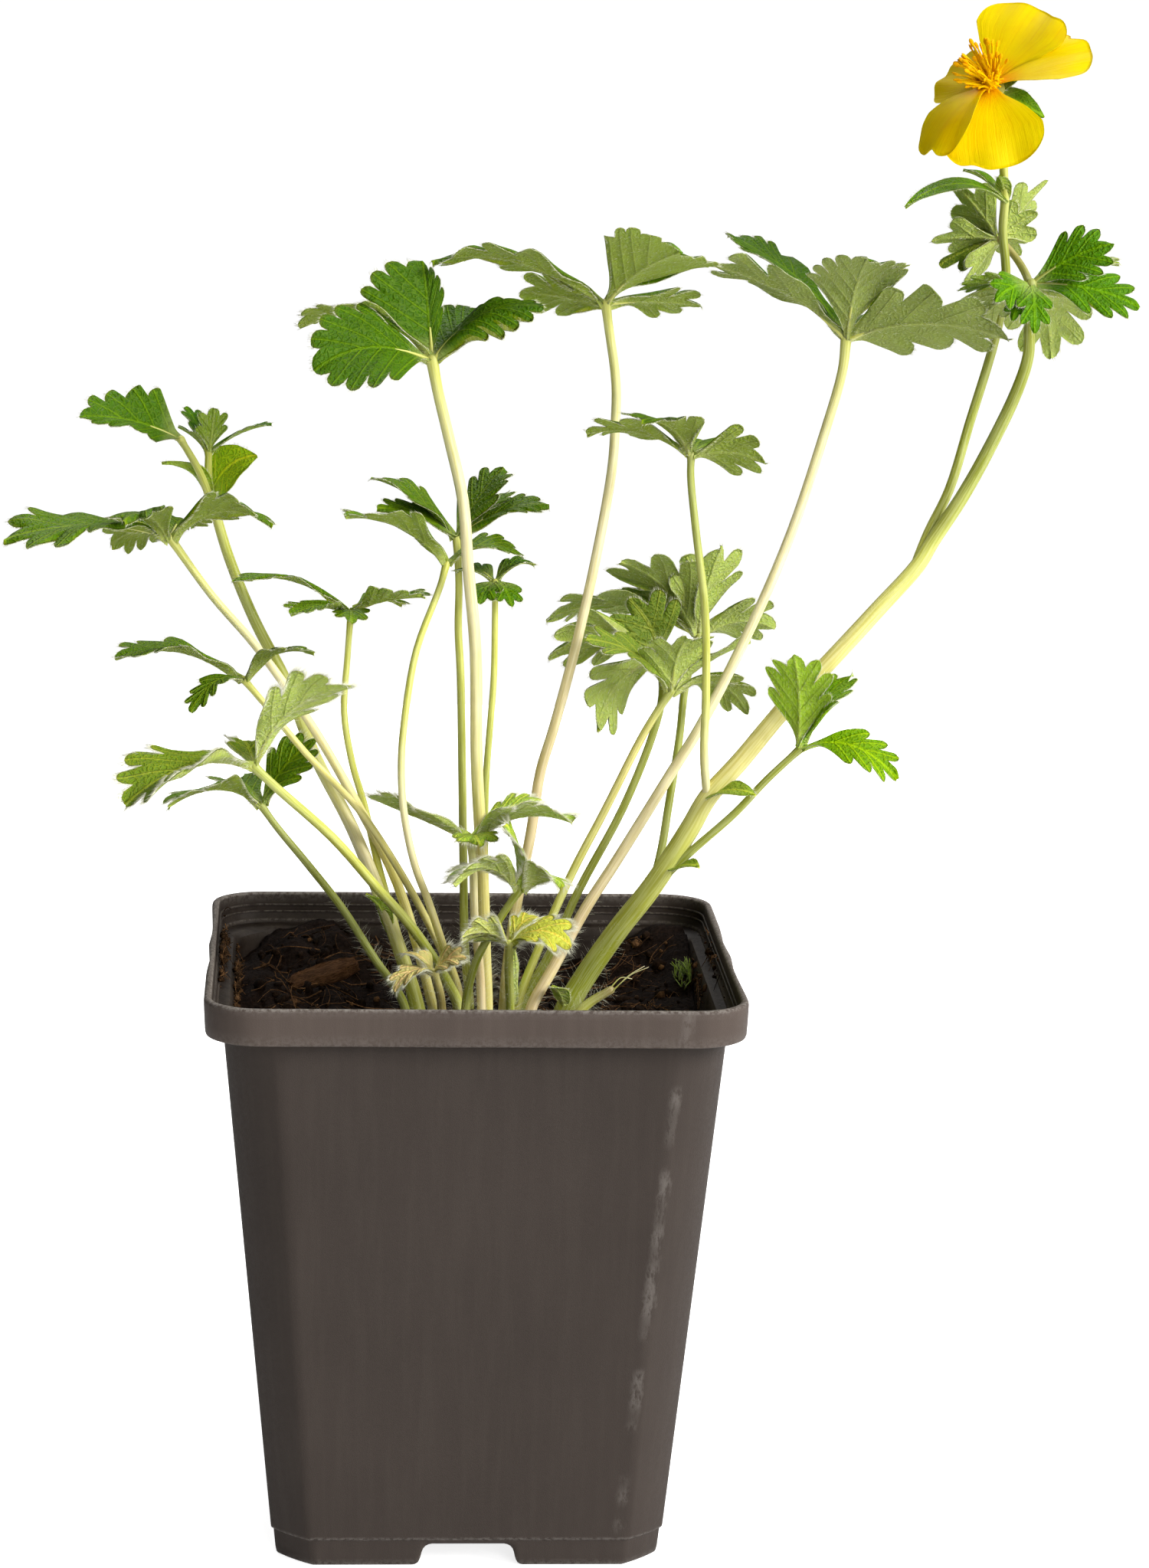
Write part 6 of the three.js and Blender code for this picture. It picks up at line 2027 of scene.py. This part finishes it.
def pot_skin(effects):
    """Recycled plastic: warm dark grey, faint upright streaks, pale worn edges with painted
    highlights, a pale line by the front's right corner, dust, painted light on the rim's
    outside and painted shade inside.
    """
    material, nodes, shader = new_material("pot_plastic")
    place = nodes.millimetres()
    edge, inner, rim_lit = nodes.split(nodes.paint("veins"))
    colour = mottled(nodes, effects, whole(POT_GREY), place, 0.03, 0.35)["Colour"]
    streaks = nodes.noise(nodes.stretch(place, (0.5, 0.5, 0.008)), 1.0, 2)
    colour = nodes.mix(nodes.fade(streaks, 0.4, 0.7, 0, 0.24), colour, POT_PALE)
    specks = nodes.noise(place, 3.4, 2)
    colour = nodes.mix(nodes.fade(specks, 0.66, 0.78, 0, 0.35), colour, POT_PALE)
    # Painted light: the rim's outside is lighter than the body.
    colour = nodes.mix(rim_lit, colour, nodes.gained(colour, RIM_LIGHT_GAIN))
    # A pale broken line down the front by the right corner.
    colour = nodes.mix(pale_corner_line(nodes), colour, POT_WORN_AND_GLINT)
    # Pale wear on edges; on the rim's edges and the ribs it is a painted highlight.
    ragged = nodes.noise(place, 1.4, 4, 0.7)
    wear_and_glint = nodes.times(edge, nodes.fade(ragged, 0.36, 0.62))
    colour = nodes.mix(nodes.times(wear_and_glint, 0.75), colour, POT_WORN_AND_GLINT)
    dirt = nodes.times(inner, nodes.fade(nodes.noise(place, 0.35, 5, 0.65), 0.45, 0.68))
    colour = nodes.mix(nodes.times(dirt, 0.5), colour, SOIL_BROWN)
    height = nodes.plus(nodes.noise(place, 5.0, 2), nodes.times(streaks, 0.8))
    nodes.give(shader, {
        # Inside the pot and under the foot the colour is darkened: painted shade.
        "Base Color": nodes.mix(inner, colour, nodes.gained(colour, INSIDE_SHADE_GAIN)),
        "Roughness": nodes.fade(ragged, 0.3, 0.7, 0.46, 0.58),
        "Specular IOR Level": 0.1,
        "Normal": nodes.bump(height, 0.18, 0.0002),
    })
    return material


def pale_corner_line(nodes):
    """A broken pale line down the front by its right corner."""
    spot = nodes.paint("flat")
    x, y, z = nodes.split(spot)
    ragged = nodes.noise(nodes.stretch(spot, (0.9, 0.9, 0.35)), 1.0, 4, 0.7)
    line = nodes.plus(nodes.times(z, 0.095), 23.2)
    line = nodes.plus(line, nodes.times(ragged, 3.0))
    off = nodes.maths("ABSOLUTE", nodes.maths("SUBTRACT", x, line))
    broken = nodes.fade(nodes.noise(nodes.join({2: z}), 0.07, 2), 0.45, 0.56, 0, 0.24)
    share = nodes.times(nodes.fade(off, 0.2, 1.4, 1, 0), broken)
    share = nodes.times(share, nodes.fade(ragged, 0.35, 0.55))
    return nodes.times(share, nodes.fade(y, -20, -15, 1, 0))


def earth_skin(name, effects, scale, depth, stretch=None):
    """Soil and bark: mottled brown with a rough grain and painted shade in its pores, stretched
    along a piece of bark.
    """
    material, nodes, shader = new_material(name)
    place = nodes.stretch(nodes.paint("flat"), stretch) if stretch else nodes.millimetres()
    base = mottled(nodes, effects, nodes.paint("tint"), place, scale, depth)["Colour"]
    grain = nodes.noise(place, scale * 5, 4, 0.7)
    nodes.give(shader, {
        # Darker where the grain is low: painted shade in the pores.
        "Base Color": nodes.mix(nodes.fade(grain, 0.4, 0.62), nodes.gained(base, PORE_SHADE_GAIN), base),
        "Roughness": nodes.fade(grain, 0.3, 0.7, 0.95, 0.75),
        "Specular IOR Level": 0.06,
        "Normal": nodes.bump(grain, 0.7, 0.0004),
    })
    return material


def make_skins():
    """Every material, with the effects that several share."""
    effects = {"mottle": mottle_effect(), "veins": vein_effect()}
    return {
        "leaf": leaf_skin("leaf", effects),
        "leaf_yellow": leaf_skin("leaf_yellow", effects, gain=0.72, gloss=0.55, relief=0.4),
        "leaf_dry": leaf_skin("leaf_dry", effects, gain=0.8, gloss=0.75, glow=0.2, relief=0.3),
        "stalk": stalk_skin(effects),
        "hair": hair_skin(),
        "petal": petal_skin(),
        "stamen": stamen_skin(effects),
        "pot": pot_skin(effects),
        "soil": earth_skin("soil", effects, 0.35, 0.9),
        "bark": earth_skin("bark", effects, 0.6, 1.0, (0.3, 2.0, 2.0)),
    }


def place_camera():
    """The photograph's view of the pot."""
    turn, rise, roll = (math.radians(a) for a in (VIEW_TURN, VIEW_RISE, VIEW_ROLL))
    back = np.array([
        math.sin(turn) * math.cos(rise), -math.cos(turn) * math.cos(rise), math.sin(rise),
    ])
    right = unit(np.cross(-back, UP))
    up = np.cross(right, -back)
    tilted = right * math.cos(roll) + up * math.sin(roll)
    upright = -right * math.sin(roll) + up * math.cos(roll)
    camera = bpy.data.cameras.new("camera")
    camera.lens = LENS
    camera.clip_start = 0.05
    camera.clip_end = 30
    viewer = bpy.data.objects.new("camera", camera)
    bpy.context.scene.collection.objects.link(viewer)
    spot = to_frame(np.array(VIEW_TARGET) + back * VIEW_DISTANCE)
    axes = Matrix((tilted, upright, back)).transposed().to_4x4()
    viewer.matrix_world = Matrix.Translation(Vector(spot)) @ axes
    bpy.context.scene.camera = viewer


def light_sky():
    """A sky that is brighter at the right, and plain white where the camera sees it."""
    world = bpy.data.worlds.new("studio")
    bpy.context.scene.world = world
    world.use_nodes = True
    nodes = Nodes(world.node_tree)
    sideways = nodes.split(nodes.add("ShaderNodeTexCoord").outputs["Generated"])[0]
    sky = nodes.tree.nodes["Background"]
    strength = nodes.fade(sideways, -0.9, 0.9, SKY_LEFT, SKY_RIGHT)
    nodes.give(sky, {"Strength": strength, "Color": SKY_TONE})
    plain = nodes.add("ShaderNodeBackground", {"Strength": SKY_SEEN, "Color": WHITE})
    inputs = {0: nodes.seen(), 1: sky.outputs[0], 2: plain.outputs[0]}
    either = nodes.add("ShaderNodeMixShader", inputs)
    nodes.give(nodes.tree.nodes["World Output"], {"Surface": either.outputs[0]})


def lamp(name, spot, aim, size, watts, tone):
    """A soft square light, aimed at a point. Sizes are in metres."""
    light = bpy.data.lights.new(name, "AREA")
    light.size = size
    light.energy = watts
    light.color = tone
    made = bpy.data.objects.new(name, light)
    bpy.context.scene.collection.objects.link(made)
    made.location = spot
    made.rotation_mode = "QUATERNION"
    made.rotation_quaternion = (Vector(aim) - Vector(spot)).to_track_quat("-Z", "Y")


def lay_floor():
    """A pale round floor, brighter toward the right and where the camera sees it."""
    material, nodes, shader = new_material("pale_floor")
    place = nodes.place()
    glow = nodes.fade(nodes.split(place)[0], -0.35, 0.35, 0.0, 0.24)
    nodes.give(shader, {
        "Base Color": nodes.mix(nodes.noise(place, 6.0, 3), FLOOR_WHITE, FLOOR_GREY),
        "Roughness": 0.6,
        "Emission Color": WHITE,
        "Emission Strength": nodes.plus(glow, nodes.times(nodes.seen(), 0.7)),
    })
    mesh = bpy.data.meshes.new("floor")
    rim = [(FLOOR_REACH * math.cos(a), FLOOR_REACH * math.sin(a), 0) for a in circle(FLOOR_POINTS)]
    mesh.from_pydata(rim, [], [tuple(range(FLOOR_POINTS))])
    mesh.materials.append(material)
    floor = bpy.data.objects.new("floor", mesh)
    bpy.context.scene.collection.objects.link(floor)


def light_studio():
    """A pale floor under soft light from the front right, with a gentle fill."""
    light_sky()
    for name, values in LAMPS.items():
        lamp(name, *values)
    lay_floor()
    bpy.context.scene.view_settings.view_transform = "Standard"


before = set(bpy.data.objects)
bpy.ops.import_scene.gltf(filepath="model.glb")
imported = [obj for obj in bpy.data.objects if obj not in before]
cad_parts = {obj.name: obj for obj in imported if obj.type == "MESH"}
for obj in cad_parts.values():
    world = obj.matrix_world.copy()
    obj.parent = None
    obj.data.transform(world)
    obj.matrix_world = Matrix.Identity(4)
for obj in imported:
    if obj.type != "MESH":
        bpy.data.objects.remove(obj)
cad_box = [list(corner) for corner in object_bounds()]
low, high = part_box("pot")
POT_OFFSET = np.array([(low.x + high.x) / 2, (low.y + high.y) / 2, low.z]) / MM
HAIRS_WITHIN = [np.array(corner) / MM - POT_OFFSET for corner in cad_box]
place_camera()
skins = make_skins()
make_pot(skins)
make_soil(skins)
make_chip(skins)
make_stub(skins)
grow_moss(skins)
grow_leaves(skins)
grow_shoot(skins)
grow_flower_stem(skins)
grow_flower(skins)
light_studio()
bpy.context.view_layer.update()
